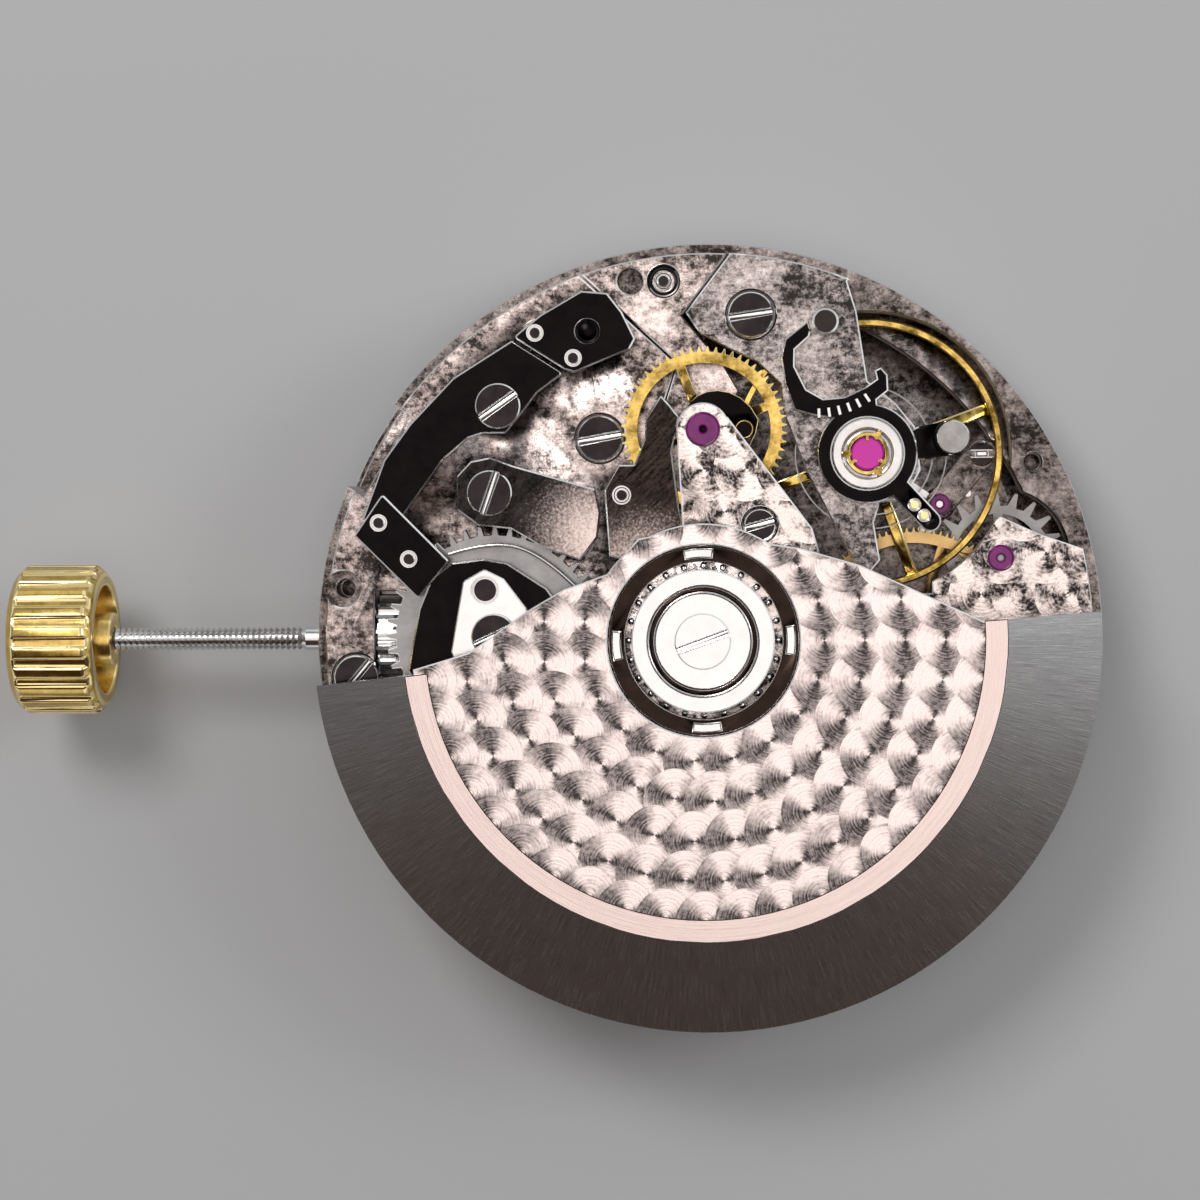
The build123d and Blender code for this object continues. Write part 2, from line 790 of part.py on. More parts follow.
def pusher_cuts(low, high):
    """Flats in the edge, where the pushers of the case pass."""
    depth = flange_r - clamp_reach + cut
    flat = Pos(clamp_reach + depth / 2, 0, 0) * Box(depth, pusher_w, high - low)
    flats = Rot(0, 0, pusher_angles[0]) * flat + Rot(0, 0, pusher_angles[1]) * flat
    return Pos(0, 0, (low + high) / 2) * flats


def winding_window(low, high):
    """The pocket round the winding pinion."""
    side = tip_radius(winding_teeth, winding_pinion_r) + air
    return block((winding_start - air, -side, low), (winding_end + air / 2, side, high))


def sliding_room():
    return along_stem(sliding_r + air, winding_end, sliding_end + sliding_travel + air)


# Fixed parts
def make_main_plate():
    body = cylinder(centre, casing_r, 0, bridge_floor)
    body += ring(centre, flange_r, casing_r - play, flange_z, flange_z + flange_t)
    works = cylinder(centre, works_r, calendar_plate_t, works_roof)
    for angle in calendar_boss_angles:
        boss_at = around(centre, casing_r * calendar_boss_share, angle)
        works -= cylinder(boss_at, calendar_boss_r, 0, bridge_floor)
    body -= works
    body -= ring(centre, seat_inner_r, works_r - play, calendar_plate_t - play, ring_floor)
    body -= cylinder(centre, calendar_plate_r + play, -cut, calendar_plate_t)
    body -= ring(centre, seat_inner_r, calendar_plate_r, -cut, ring_floor)
    keyless = block((*keyless_low_at, ring_floor - play), (*keyless_high_at, works_roof))
    body -= keyless & cylinder(centre, bridge_edge_r, 0, bridge_floor)
    stem_block = block(
        (-casing_r, -stem_block_half_w, 0),
        (pilot_start + pilot_length + air, stem_block_half_w, bridge_top),
    )
    room = cylinder(centre, room_r, web_top, bridge_top) - stem_block
    for at in [spring_screw_at, bridge_screw_at, cock_screw_at] + rim_pillars:
        room -= cylinder(at, pillar_r, 0, bridge_top)
    body -= room
    body -= cylinder(escape_at, escape_r + 2 * air, web_top, bridge_top)
    body -= cylinder(barrel_at, tip_radius(barrel_teeth, barrel_r) + air, web_top, bridge_top)
    body -= cylinder(balance_at, well_r, balance_rim_z - air, bridge_top)
    body -= along_stem(stem_collar_r + play, -flange_r - cut, winding_start)
    body -= winding_window(stem_z - tip_radius(winding_teeth, winding_pinion_r) - air, bridge_top)
    body -= sliding_room()
    body -= block(
        (winding_end, -sliding_r - air, works_roof - cut),
        (sliding_end + sliding_travel + air, sliding_r + air, stem_z),
    )
    body -= along_stem(stem_pilot_r + play, sliding_end, pilot_start + pilot_length)
    slot = keyless_pin_r + 2 * air
    body -= block(
        (stem_groove_x - stem_travel - slot, -slot, works_roof - cut), (stem_groove_x + slot, slot, stem_z)
    )
    body -= pusher_cuts(pusher_z, bridge_top)
    setting_room_r = tip_radius(setting_teeth, setting_r) + air
    body -= cylinder(setting_at, setting_room_r, works_roof - cut, setting_top + air)
    for at in (setting_at, intermediate_at, minute_at, date_wheel_at):
        body += cylinder(at, stud_r, calendar_plate_t + air, web_top)
    for at in (setting_pivot, yoke_pivot):
        body += cylinder(at, pivot_post_r, keyless_z - air, works_roof + air)
    for at in (escape_at, seconds_at, third_at, pallet_at, clutch_at, counter_at, balance_at):
        body -= cylinder(at, jewel_r, lower_jewel_z, bridge_floor)
        body -= cylinder(at, pivot_r + air, 0, bridge_floor)
    for at in (seconds_at, counter_at):
        body -= cylinder(at, post_r + air, -cut, bridge_floor)
    body -= cylinder(second_at, arbor_r + play, 0, bridge_floor)
    body -= cylinder(barrel_at, barrel_foot_r + play, 0, bridge_floor)
    body += cylinder(centre, centre_tube_r, centre_tube_end, works_roof)
    body -= cylinder(centre, centre_arbor_r + play, centre_tube_end - cut, bridge_floor)
    for angle in dial_foot_angles:
        body -= cylinder(around(centre, dial_foot_reach, angle), dial_foot_r, -cut, dial_foot_depth)
    for angle in clamp_angles:
        at = around(centre, clamp_reach, angle)
        body -= cylinder(at, clamp_hole_r, bridge_floor - clamp_hole_depth, bridge_top)
    for angle in calendar_boss_angles:
        at = around(centre, casing_r * calendar_boss_share, angle)
        body -= cylinder(at, small_head_r * shank_share + play, -cut, calendar_screw_top + air)
    for at in [bridge_screw_at, clamp_screw_at] + rim_pillars:
        body -= screw_hole(at, bridge_seat, big_head_r)
    body -= screw_hole(cock_screw_at, cock_seat, big_head_r)
    body -= screw_hole(pallet_foot_at, pallet_bridge_top, small_head_r, pallet_screw_length)
    return body


def make_barrel_bridge():
    body = plate(outline(barrel_bridge_shares), bridge_floor, bridge_top)
    body &= cylinder(centre, bridge_edge_r, 0, total_height)
    body -= pusher_cuts(bridge_floor - cut, total_height)
    body -= winding_window(bridge_floor - cut, total_height)
    body -= sliding_room()
    body -= cylinder(barrel_at, journal_r + play, 0, total_height)
    body -= cylinder(around(centre, clamp_reach, clamp_angles[1]), clamp_room_r, 0, total_height)
    for at in (bridge_screw_at, clamp_screw_at, rim_pillars[0]):
        body -= screw_hole(at, bridge_seat, big_head_r)
    body += cylinder(crown_wheel_at, crown_core_r, bridge_top - play, lever_floor)
    body += cylinder(lever_screw_at, boss_r, bridge_top - play, lever_floor - play)
    body += cylinder(lever_screw_at, journal_r, bridge_top, lever_top + play)
    body += cylinder(spring_screw_at, boss_r, bridge_top - play, spring_plate_z)
    body += cylinder(retaining_post_at, retaining_post_r, bridge_top - play, retaining_z)
    body += cylinder(hammer_pin_at, boss_r * 0.6, bridge_top - play, hammer_z - play)
    body += cylinder(click_at, stud_r, bridge_top - play, winding_z + winding_t + play)
    for at in end_pins + [end_ring_at]:
        body += cylinder(at, end_boss_r, bridge_top - play, lever_floor)
    body -= screw_hole(lever_screw_at, lever_top + play, big_head_r)
    body -= screw_hole(spring_screw_at, spring_plate_top, big_head_r)
    body -= screw_hole(crown_wheel_at, click_plate_top, big_head_r)
    body -= cylinder(hammer_pin_at, pin_r, hammer_z - cut, hammer_top)
    for at in end_pins:
        body -= cylinder(at, pin_r, lever_floor - cut, end_plate_top)
    return body


def make_train_bridge():
    body = plate(outline(train_bridge_shares), bridge_floor, bridge_top)
    body &= cylinder(centre, bridge_edge_r, 0, total_height)
    body -= cylinder(balance_at, well_r, 0, total_height)
    body += bar(auto_screw_at, around(auto_screw_at, boss_r, 220), 2 * boss_r, bridge_floor, bridge_top)
    for at, outer in ((second_at, jewel_r), (third_at, jewel_r), (seconds_at, jewel_r), (centre, jewel_r),
                      (escape_at, escape_jewel_r), (clutch_at, escape_jewel_r)):
        body -= cylinder(at, outer, upper_jewel_z, total_height)
        body -= cylinder(at, arbor_r + air, 0, total_height)
    body -= cylinder(reversing_at, pivot_r + play, 0, total_height)
    for at in rim_pillars[1:]:
        body -= screw_hole(at, bridge_seat, big_head_r)
    for at in auto_foot_places:
        body -= cylinder(at, small_head_r * shank_share + play, 0, total_height)
    return body


def make_chronograph_plate():
    body = plate(outline(chrono_plate_shares), bridge_floor, bridge_top)
    body &= cylinder(centre, bridge_edge_r, 0, total_height)
    body -= cylinder(balance_at, well_r, 0, total_height)
    body -= cylinder(counter_at, jewel_r, upper_jewel_z, total_height)
    body -= cylinder(counter_at, arbor_r + air, 0, total_height)
    body -= cylinder(small_hole_at, small_hole_r, bridge_floor - cut, total_height)
    body -= ring(ring_pin_at, ring_pin_r, ring_pin_r - sunk, bridge_seat, total_height)
    body -= cylinder(ring_pin_at, pin_r, bridge_seat, total_height)
    return body


def make_balance_cock():
    face = outline(cock_shares)
    body = plate(face, bridge_floor, bridge_top) - cylinder(balance_at, well_r, 0, total_height)
    body += plate(face, bridge_top, cock_top)
    body &= cylinder(centre, bridge_edge_r, 0, total_height)
    body -= cylinder(balance_at, shock_r + play, 0, total_height)
    body -= screw_hole(cock_screw_at, cock_seat, big_head_r)
    body -= cylinder(eccentric_at, pin_r + play, bridge_top, total_height)
    return body


def make_pallet_bridge():
    body = bar(pallet_at, pallet_foot_at, 2 * pallet_foot_r, pallet_bridge_z, pallet_bridge_top)
    body += cylinder(pallet_foot_at, pallet_foot_r, web_top, pallet_bridge_top)
    body -= cylinder(pallet_at, pallet_jewel_r, pallet_bridge_z - cut, bridge_top)
    body -= screw_hole(pallet_foot_at, pallet_bridge_top, small_head_r * 0.8, pallet_screw_length)
    return body


def make_automatic_bridge():
    body = cylinder(centre, auto_hub_r, auto_floor, auto_top)
    body += plate(outline(auto_arm_shares), auto_floor, auto_top)
    body += plate(outline(auto_lower_shares), auto_floor, auto_top, play)
    body += cylinder(counter_at, 2 * auto_foot_r, auto_floor, auto_top)
    body += cylinder(auto_screw_at, big_head_r, auto_floor, auto_top)
    for at in auto_foot_places:
        body += cylinder(at, auto_foot_r, bridge_top, auto_top)
    body += cylinder(centre, auto_post_r, auto_floor, hub_race_top - play)
    body += cylinder(idler_at, auto_foot_r / 2, idler_z - play, auto_floor + play)
    for at in auto_foot_places:
        body -= screw_hole(at, auto_seat, small_head_r, auto_screw_length)
    body -= cylinder(counter_at, jewel_r, auto_jewel_z, total_height)
    body -= cylinder(counter_at, arbor_r + air, auto_floor - cut, total_height)
    body -= cylinder(reversing_at, jewel_r, auto_jewel_z, total_height)
    body -= cylinder(reversing_at, arbor_r + air, auto_floor - cut, total_height)
    body -= cylinder(centre, escape_jewel_r, auto_floor - cut, centre_jewel_top)
    hole_r = rotor_screw_r * shank_share + play
    body -= cylinder(centre, hole_r, hub_race_top - rotor_screw_hole, total_height)
    return body


def make_calendar_plate():
    body = cylinder(centre, calendar_plate_r, 0, calendar_plate_t)
    body -= cylinder(centre, hour_pipe_r + air, -cut, cut)
    for at in (seconds_at, counter_at):
        body -= cylinder(at, post_r + 2 * air, -cut, cut)
    for angle in calendar_boss_angles:
        at = around(centre, casing_r * calendar_boss_share, angle)
        body -= cylinder(at, small_head_r + play, -cut, calendar_head_t)
        body -= cylinder(at, small_head_r * shank_share + play, -cut, cut)
    return body


# Keyless works and winding
def make_stem():
    turns = int((thread_start - thread_end) / thread_pitch)
    profile = [(thread_end, 0), (thread_end, stem_thread_r - thread_depth)]
    for number in range(turns):
        start = thread_end + number * thread_pitch
        profile.append((start + thread_pitch / 2, stem_thread_r))
        profile.append((start + thread_pitch, stem_thread_r - thread_depth))
    groove_start = stem_groove_x - stem_groove_w / 2
    groove_end = stem_groove_x + stem_groove_w / 2
    pilot_end = pilot_start + pilot_length - air
    steps = [
        (thread_start, stem_thread_r), (-casing_r - air, stem_thread_r), (-casing_r + air, stem_collar_r),
        (groove_start, stem_collar_r), (groove_start, stem_neck_r), (groove_end, stem_neck_r),
        (groove_end, stem_collar_r), (winding_start - air, stem_collar_r),
        (winding_start - air, stem_seat_r), (winding_end, stem_seat_r), (winding_end, stem_pilot_r),
        (pilot_end, stem_pilot_r), (pilot_end, 0),
    ]
    body = Pos(0, 0, stem_z) * revolve(flat(profile + steps), Axis.X)
    half = stem_square / 2
    return body + block((winding_end - air, -half, stem_z - half), (pilot_start, half, stem_z + half))


def make_crown():
    profile = [
        (crown_outer_x, 0), (crown_outer_x, crown_r - crown_chamfer),
        (crown_outer_x + crown_chamfer, crown_r), (crown_inner_x - crown_chamfer, crown_r),
        (crown_inner_x, crown_r - crown_chamfer),
        (crown_inner_x, crown_recess_r), (crown_inner_x - crown_recess_t, crown_recess_r),
        (crown_inner_x - crown_recess_t, crown_pipe_r), (crown_inner_x + crown_pipe_out, crown_pipe_r),
        (crown_inner_x + crown_pipe_out, stem_thread_r + play), (thread_end - air, stem_thread_r + play),
        (thread_end - air, 0),
    ]
    body = revolve(flat(profile), Axis.X)
    groove = block(
        (crown_outer_x + crown_chamfer, -crown_groove_w / 2, crown_r - crown_groove_t),
        (crown_inner_x + cut, crown_groove_w / 2, crown_r + cut),
    )
    for number in range(crown_ridges):
        body -= Rot(360 * number / crown_ridges, 0, 0) * groove
    return Pos(0, 0, stem_z) * body


def make_winding_pinion():
    face = gear_face(winding_teeth, winding_pinion_r, 90 + 180 / winding_teeth) - Circle(stem_seat_r + play)
    turned = Pos(winding_start, 0, stem_z) * Rot(0, 90, 0) * Rot(0, 0, 90)
    return turned * extrude(face, amount=winding_pinion_t)


def make_sliding_pinion():
    body = along_stem(sliding_r, sliding_start, sliding_end)
    groove_start = sliding_groove_x - sliding_groove_w / 2
    body -= along_stem(sliding_r + cut, groove_start, groove_start + sliding_groove_w)
    body += along_stem(sliding_groove_r, sliding_start + sliding_face_t, sliding_end - sliding_face_t)
    half = stem_square / 2 + play
    body -= block((sliding_start - cut, -half, stem_z - half), (sliding_end + cut, half, stem_z + half))
    tooth_gap = block(
        (sliding_end - sliding_face_t, -sliding_face_t / 2, sliding_root_r),
        (sliding_end + cut, sliding_face_t / 2, sliding_r + cut),
    )
    for number in range(sliding_face_teeth):
        body -= Pos(0, 0, stem_z) * Rot(360 * number / sliding_face_teeth, 0, 0) * tooth_gap
    return body


def make_setting_lever():
    at = (stem_groove_x, 0)
    body = bar(setting_pivot, at, setting_lever_w, keyless_z, keyless_z + keyless_t)
    body += cylinder(at, keyless_pin_r, keyless_z, setting_pin_top)
    return body - cylinder(setting_pivot, pivot_post_r + play, 0, bridge_floor)


def make_yoke():
    at = (sliding_groove_x, 0)
    body = bar(yoke_pivot, at, yoke_w, keyless_z, keyless_z + keyless_t)
    body += cylinder(at, keyless_pin_r, keyless_z, yoke_pin_top)
    return body - cylinder(yoke_pivot, pivot_post_r + play, 0, bridge_floor)


def make_click():
    direction = bearing(click_at, barrel_at)
    reach = gap_between(click_at, barrel_at) - tip_radius(ratchet_teeth, ratchet_r) - air
    beak = [
        around(click_at, boss_r, direction + 60), around(click_at, reach, direction),
        around(click_at, boss_r, direction - 60),
    ]
    top = winding_z + winding_t
    body = plate(beak, winding_z, top) + cylinder(click_at, boss_r, winding_z, top)
    return body - cylinder(click_at, stud_r + play, 0, total_height)


# Going train
def make_barrel():
    body = gear(barrel_at, barrel_teeth, barrel_r, barrel_phase, barrel_z, barrel_z + barrel_teeth_t)
    body += cylinder(barrel_at, barrel_drum_r, barrel_z, barrel_top)
    inner_r = barrel_drum_r - barrel_wall
    body -= cylinder(barrel_at, inner_r, barrel_z + barrel_wall, barrel_top - barrel_wall)
    body -= cylinder(barrel_at, barrel_foot_r + play, 0, barrel_z + cut)
    return body - cylinder(barrel_at, journal_r + play, barrel_z, bridge_top)


def make_barrel_arbor():
    hub_low = barrel_z + barrel_wall + play
    body = cylinder(barrel_at, barrel_foot_r, works_roof + play, hub_low)
    body += cylinder(barrel_at, barrel_hub_r, hub_low, barrel_top - barrel_wall - play)
    body += cylinder(barrel_at, journal_r, barrel_z, bridge_top + play)
    half = ratchet_square / 2
    square = Pos(barrel_at[0], barrel_at[1], bridge_top) * Rectangle(2 * half, 2 * half)
    return body + extrude(square, amount=winding_z + winding_t - bridge_top + play)


def make_ratchet_wheel():
    face = gear_face(ratchet_teeth, ratchet_r, ratchet_phase)
    face -= Rectangle(ratchet_square + 2 * play, ratchet_square + 2 * play)
    return extrude(Pos(barrel_at[0], barrel_at[1], winding_z) * face, amount=winding_t)


def half_turn_spiral(at, start_r, pitch, half_turns, thickness, low, height, turn):
    """A flat spiral strip of half rings, with its inner end at the angle turn."""
    face = Sketch()
    for number in range(half_turns):
        radius = start_r + number * pitch / 2
        side = -1 if number % 2 == 0 else 1
        half = Circle(radius + thickness / 2) - Circle(radius - thickness / 2)
        half &= Pos(0, -side * 2 * radius) * Rectangle(6 * radius, 4 * radius)
        face += Pos(side * pitch / 4, 0) * half
    return extrude(Pos(at[0], at[1], low) * Rot(0, 0, turn) * face, amount=height)


def print_spiral_gap(name, pitch, thickness):
    """Turns of a flat spiral lie one pitch apart at every angle, less the strip."""
    print(f"{name}: least gap between turns {pitch - thickness:.3f} mm")


def make_mainspring():
    print_spiral_gap("mainspring", mainspring_pitch, mainspring_t)
    low = barrel_z + barrel_wall + air
    return half_turn_spiral(
        barrel_at, mainspring_start_r, mainspring_pitch, mainspring_half_turns, mainspring_t,
        low, barrel_top - barrel_wall - air - low, 0,
    )


def make_second_wheel():
    top = second_wheel_z + wheel_t
    body = gear(second_at, second_teeth, second_r, second_phase, second_wheel_z, top)
    body -= arm_windows(
        second_at, 5, root_radius(second_teeth, second_r) - rim_w, hub_r, arm_w, second_wheel_z, top
    )
    body += gear(
        second_at, second_leaves, second_pinion_r, second_phase,
        barrel_z, barrel_z + barrel_teeth_t + pinion_margin,
    )
    body += cylinder(second_at, arbor_r, minute_wheel_z, upper_jewel_z - shake)
    body += cylinder(second_at, pivot_r, upper_jewel_z - cut, upper_jewel_z + jewel_t / 2)
    motion_top = minute_wheel_z + minute_wheel_t
    return body + gear(second_at, cannon_teeth, cannon_r, 0, minute_wheel_z, motion_top)


def make_third_wheel():
    top = third_wheel_z + wheel_t
    body = gear(third_at, third_teeth, third_r, third_phase, third_wheel_z, top)
    rim_r = root_radius(third_teeth, third_r) - rim_w
    body -= arm_windows(third_at, 5, rim_r, hub_r, arm_w, third_wheel_z, top)
    body += gear(
        third_at, third_leaves, third_pinion_r, third_phase,
        second_wheel_z - pinion_margin, second_wheel_z + wheel_t + pinion_margin,
    )
    return body + arbor(third_at, web_top, upper_jewel_z)


def make_seconds_wheel():
    top = seconds_wheel_z + wheel_t
    body = gear(seconds_at, seconds_teeth, seconds_r, 0, seconds_wheel_z, top)
    body -= arm_windows(
        seconds_at, 5, root_radius(seconds_teeth, seconds_r) - rim_w, hub_r, arm_w, seconds_wheel_z, top
    )
    body += gear(
        seconds_at, seconds_leaves, seconds_pinion_r, 0, third_wheel_z - pinion_margin,
        third_wheel_z + wheel_t + pinion_margin,
    )
    body += arbor(seconds_at, web_top, upper_jewel_z)
    return body + hand_post(seconds_at, counter_seat_r, counter_post_end, 0, post_r, web_top + air)


def make_escape_wheel():
    points = []
    step = 360 / escape_teeth
    for number in range(escape_teeth):
        for reach_share, step_share in escape_tooth_shares:
            points.append(around(centre, escape_r * reach_share, step * (number + step_share)))
    top = escape_wheel_z + escape_wheel_t
    body = extrude(Pos(escape_at[0], escape_at[1], escape_wheel_z) * flat(points), amount=escape_wheel_t)
    body -= arm_windows(escape_at, 4, escape_r * escape_rim_share, escape_hub_r, arm_w, escape_wheel_z, top)
    body += gear(
        escape_at, escape_leaves, escape_pinion_r, escape_phase, seconds_wheel_z - pinion_margin,
        seconds_wheel_z + wheel_t + pinion_margin,
    )
    return body + arbor(escape_at, web_top, upper_jewel_z)


def make_pallet_fork():
    to_balance = bearing(pallet_at, balance_at)
    horn = gap_between(pallet_at, balance_at) - impulse_reach + 2 * impulse_r
    body = bar(pallet_at, around(pallet_at, horn - fork_w, to_balance), fork_w, fork_z, fork_top)
    end = around(pallet_at, horn - fork_w, to_balance)
    head = bar(
        around(end, 1.2 * fork_w, to_balance + 90), around(end, 1.2 * fork_w, to_balance - 90), fork_w,
        fork_z, fork_top,
    )
    body += head
    tips = []
    to_pallet = bearing(escape_at, pallet_at)
    for side in (-1, 1):
        tip = around(escape_at, escape_r + stone_gap, to_pallet + side * stone_half_angle)
        back = around(escape_at, escape_r + stone_gap + stone_length, to_pallet + side * stone_half_angle)
        body += bar(pallet_at, back, fork_w, fork_z, fork_top)
        tips.append(bar(around(tip, stone_w / 2, bearing(tip, back)), back, stone_w, fork_z, fork_top))
    body += tips[0] + tips[1]
    body += cylinder(pallet_at, 2 * fork_w, fork_z, fork_top)
    body += cylinder(pallet_at, 0.7 * arbor_r, web_top + shake, pallet_bridge_z + shake)
    return body + cylinder(pallet_at, pivot_r, web_top - jewel_t / 2, pallet_bridge_z + jewel_t / 2)


def make_balance_wheel():
    body = ring(balance_at, balance_r, balance_r - balance_rim_w, balance_rim_z, balance_rim_top)
    for number in range(4):
        end = around(balance_at, balance_r - balance_rim_w / 2, balance_arm_turn + 90 * number)
        arm = bar(balance_at, end, balance_arm_w, balance_arm_z, balance_arm_top)
        body += arm & cylinder(balance_at, balance_r - play, 0, total_height)
    body += cylinder(balance_at, balance_hub_r, balance_arm_z - air, balance_arm_top + air)
    body += cylinder(balance_at, arbor_r, web_top + shake, shock_floor)
    body += cylinder(balance_at, collet_r, hairspring_z - play, hairspring_z + hairspring_h + play)
    body += cylinder(balance_at, roller_r, roller_z, roller_top)
    pin_at = around(balance_at, impulse_reach, bearing(balance_at, pallet_at))
    body += cylinder(pin_at, impulse_r, impulse_low, roller_z)
    body += cylinder(balance_at, pivot_r, web_top - jewel_t / 2, web_top + cut)
    return body + cylinder(balance_at, pivot_r, shock_floor - play, shock_jewel_z + play)


def make_hairspring():
    print_spiral_gap("hairspring", hairspring_pitch, hairspring_t)
    return half_turn_spiral(
        balance_at, hairspring_start_r, hairspring_pitch, hairspring_half_turns, hairspring_t,
        hairspring_z, hairspring_h, bearing(balance_at, stud_at) + 180,
    )


# Shock setting and regulator
def make_shock_setting():
    body = ring(balance_at, shock_r, shock_inner_r, bridge_top + air, shock_top)
    body += ring(balance_at, shock_inner_r + play, arbor_r + air, shock_floor, shock_floor + sunk)
    lip_top = shock_jewel_top - air
    return body + ring(balance_at, shock_inner_r + play, shock_jewel_r + play, shock_floor, lip_top)


def make_shock_spring():
    low = shock_jewel_top + play / 2
    body = ring(balance_at, lyre_r, lyre_r - lyre_w, low, low + lyre_t)
    ring_r = lyre_r - lyre_w / 2
    for angle in (60, 180, 300):
        tab_end = around(balance_at, shock_inner_r - lyre_w, angle)
        lip_end = around(balance_at, lyre_r - 2 * lyre_w, angle + 30)
        body += bar(around(balance_at, ring_r, angle), tab_end, 2 * lyre_w, low, low + lyre_t)
        body += bar(around(balance_at, ring_r, angle + 30), lip_end, lyre_w, low, low + lyre_t)
    return body


def make_regulator_index():
    body = ring(balance_at, index_ring_r, shock_r + play, index_z, index_top)
    body += plate(outline(index_shares), index_z, index_top)
    tail_end = place(index_tail_share)
    tail_start = around(balance_at, shock_r + index_tail_w / 2, bearing(balance_at, tail_end))
    body += bar(tail_start, tail_end, index_tail_w, index_z, index_top)
    body -= cylinder(balance_at, shock_r + play, 0, total_height)
    body -= cylinder(eccentric_at, eccentric_r + 2 * air, 0, total_height)
    for at in outline(index_dot_shares):
        body += cylinder(at, curb_r, index_z - sunk, index_top + play)
    return body


def make_stud_carrier():
    body = ring(balance_at, index_ring_r - air, shock_r + play, stud_ring_z, stud_ring_top)
    reach = around(balance_at, shock_r + index_tail_w, bearing(balance_at, stud_at))
    body += bar(reach, stud_at, index_tail_w * 1.6, stud_ring_z, stud_ring_top)
    body += cylinder(stud_at, stud_head_r, stud_ring_z, stud_head_top)
    return body + cylinder(stud_at, stud_foot_r, hairspring_z - play, stud_ring_z)


# Levers and covers on the bridges
def make_operating_lever():
    body = plate(outline(lever_shares), lever_floor, lever_top, 2 * air)
    return body - cylinder(lever_screw_at, journal_r + play, 0, total_height)


def make_lever_end_plate():
    body = plate(outline(end_plate_shares), lever_floor, end_plate_top, 2 * air)
    for at in end_pins:
        body -= cylinder(at, pin_r, 0, total_height)
    return body - cylinder(end_ring_at, end_ring_hole_r, end_plate_top - sunk, total_height)


def make_retaining_plate():
    body = plate(outline(retaining_shares), retaining_z, retaining_top, 2 * air)
    for at in retaining_pins:
        body -= cylinder(at, pin_r, 0, total_height)
    return body


def make_hammer_spring_plate():
    body = plate(outline(spring_plate_shares), spring_plate_z, spring_plate_top, 2 * air)
    return body - cylinder(spring_screw_at, big_head_r * shank_share + play, 0, total_height)


def make_reset_hammer():
    body = plate(outline(hammer_shares), hammer_z, hammer_top, play)
    return body - cylinder(hammer_pin_at, pin_r + play, 0, total_height)


def make_winding_cover():
    body = plate(outline(cover_shares), lever_floor, cover_top, 2 * air)
    body -= cylinder(crown_wheel_at, big_head_r * shank_share + play, 0, total_height)
    return body


def make_click_plate():
    body = plate(outline(click_plate_shares), cover_top, click_plate_top, 2 * air)
    body -= cylinder(crown_wheel_at, big_head_r * shank_share + play, 0, total_height)
    return body - cylinder(cover_pin_at, cover_pin_r, 0, total_height)


def make_wire_spring():
    path = Spline(*[(x, y, wire_z) for x, y in outline(wire_shares)])
    return sweep(Plane(origin=path @ 0, z_dir=path % 0) * Circle(wire_r), path=path)


# Chronograph works
def make_chronograph_wheel():
    top = chrono_z + chrono_t
    body = gear(centre, chrono_teeth, chrono_r, 0, chrono_z, top)
    rim_r = root_radius(chrono_teeth, chrono_r) - rim_w
    body -= arm_windows(centre, 5, rim_r, hub_r, arm_w, chrono_z, top, 90)
    body += cylinder(centre, chrono_hub_r, chrono_z, auto_floor - play)
    for angle in (30, 210):
        tip = around(centre, finger_r - finger_w / 2, angle)
        body += bar(centre, tip, finger_w, finger_z, finger_z + idler_t)
    body += hand_post(
        centre, centre_seat_r, centre_post_end, cannon_post_end, centre_arbor_r, chrono_z + play
    )
    return body + cylinder(centre, pivot_r, auto_floor - air, centre_jewel_top - air)


def make_idler():
    body = gear(idler_at, idler_teeth, idler_r, 0, idler_z, idler_z + idler_t, auto_foot_r / 2 + play)
    outer = root_radius(idler_teeth, idler_r) - rim_w / 2
    return body - arm_windows(idler_at, 4, outer, hub_r * 0.8, arm_w, idler_z, idler_z + idler_t, 45)


def make_minute_counter_wheel():
    top = counter_z + counter_t
    face = gear_face(counter_teeth, counter_r, counter_phase, 0.5, 0.12)
    body = extrude(Pos(counter_at[0], counter_at[1], counter_z) * face, amount=counter_t)
    body -= arm_windows(
        counter_at, 4, root_radius(counter_teeth, counter_r) - rim_w, hub_r, arm_w, counter_z, top, 20
    )
    heart = []
    for number in range(-heart_points, heart_points + 1):
        share = 1 - abs(number) / heart_points
        radius = heart_low_r + (heart_high_r - heart_low_r) * share
        heart.append(around(counter_at, radius, heart_turn + 180 * number / heart_points))
    body += plate(heart[:-1], heart_z - play, heart_z + heart_t)
    body += cylinder(counter_at, heart_low_r, counter_z, heart_z + heart_t)
    body += cylinder(heart_pin_at, heart_pin_r, counter_z + counter_t / 2, heart_z + heart_t + play / 2)
    body += cylinder(counter_at, arbor_r, web_top + shake, auto_jewel_z - shake)
    body += cylinder(counter_at, pivot_r, auto_jewel_z - air, auto_jewel_z + jewel_t / 2)
    return body + hand_post(counter_at, counter_seat_r, counter_post_end, 0, post_r, web_top + air)


def make_oscillating_pinion():
    body = gear(
        clutch_at, clutch_leaves, clutch_lower_r, clutch_phase, seconds_wheel_z - pinion_margin,
        seconds_wheel_z + wheel_t + pinion_margin,
    )
    body += arbor(clutch_at, web_top, upper_jewel_z)
    body += cylinder(clutch_at, pivot_r, upper_jewel_z, clutch_top)
    return body + gear(
        clutch_at, clutch_leaves, clutch_upper_r, 0, chrono_z - pinion_margin, clutch_top
    )


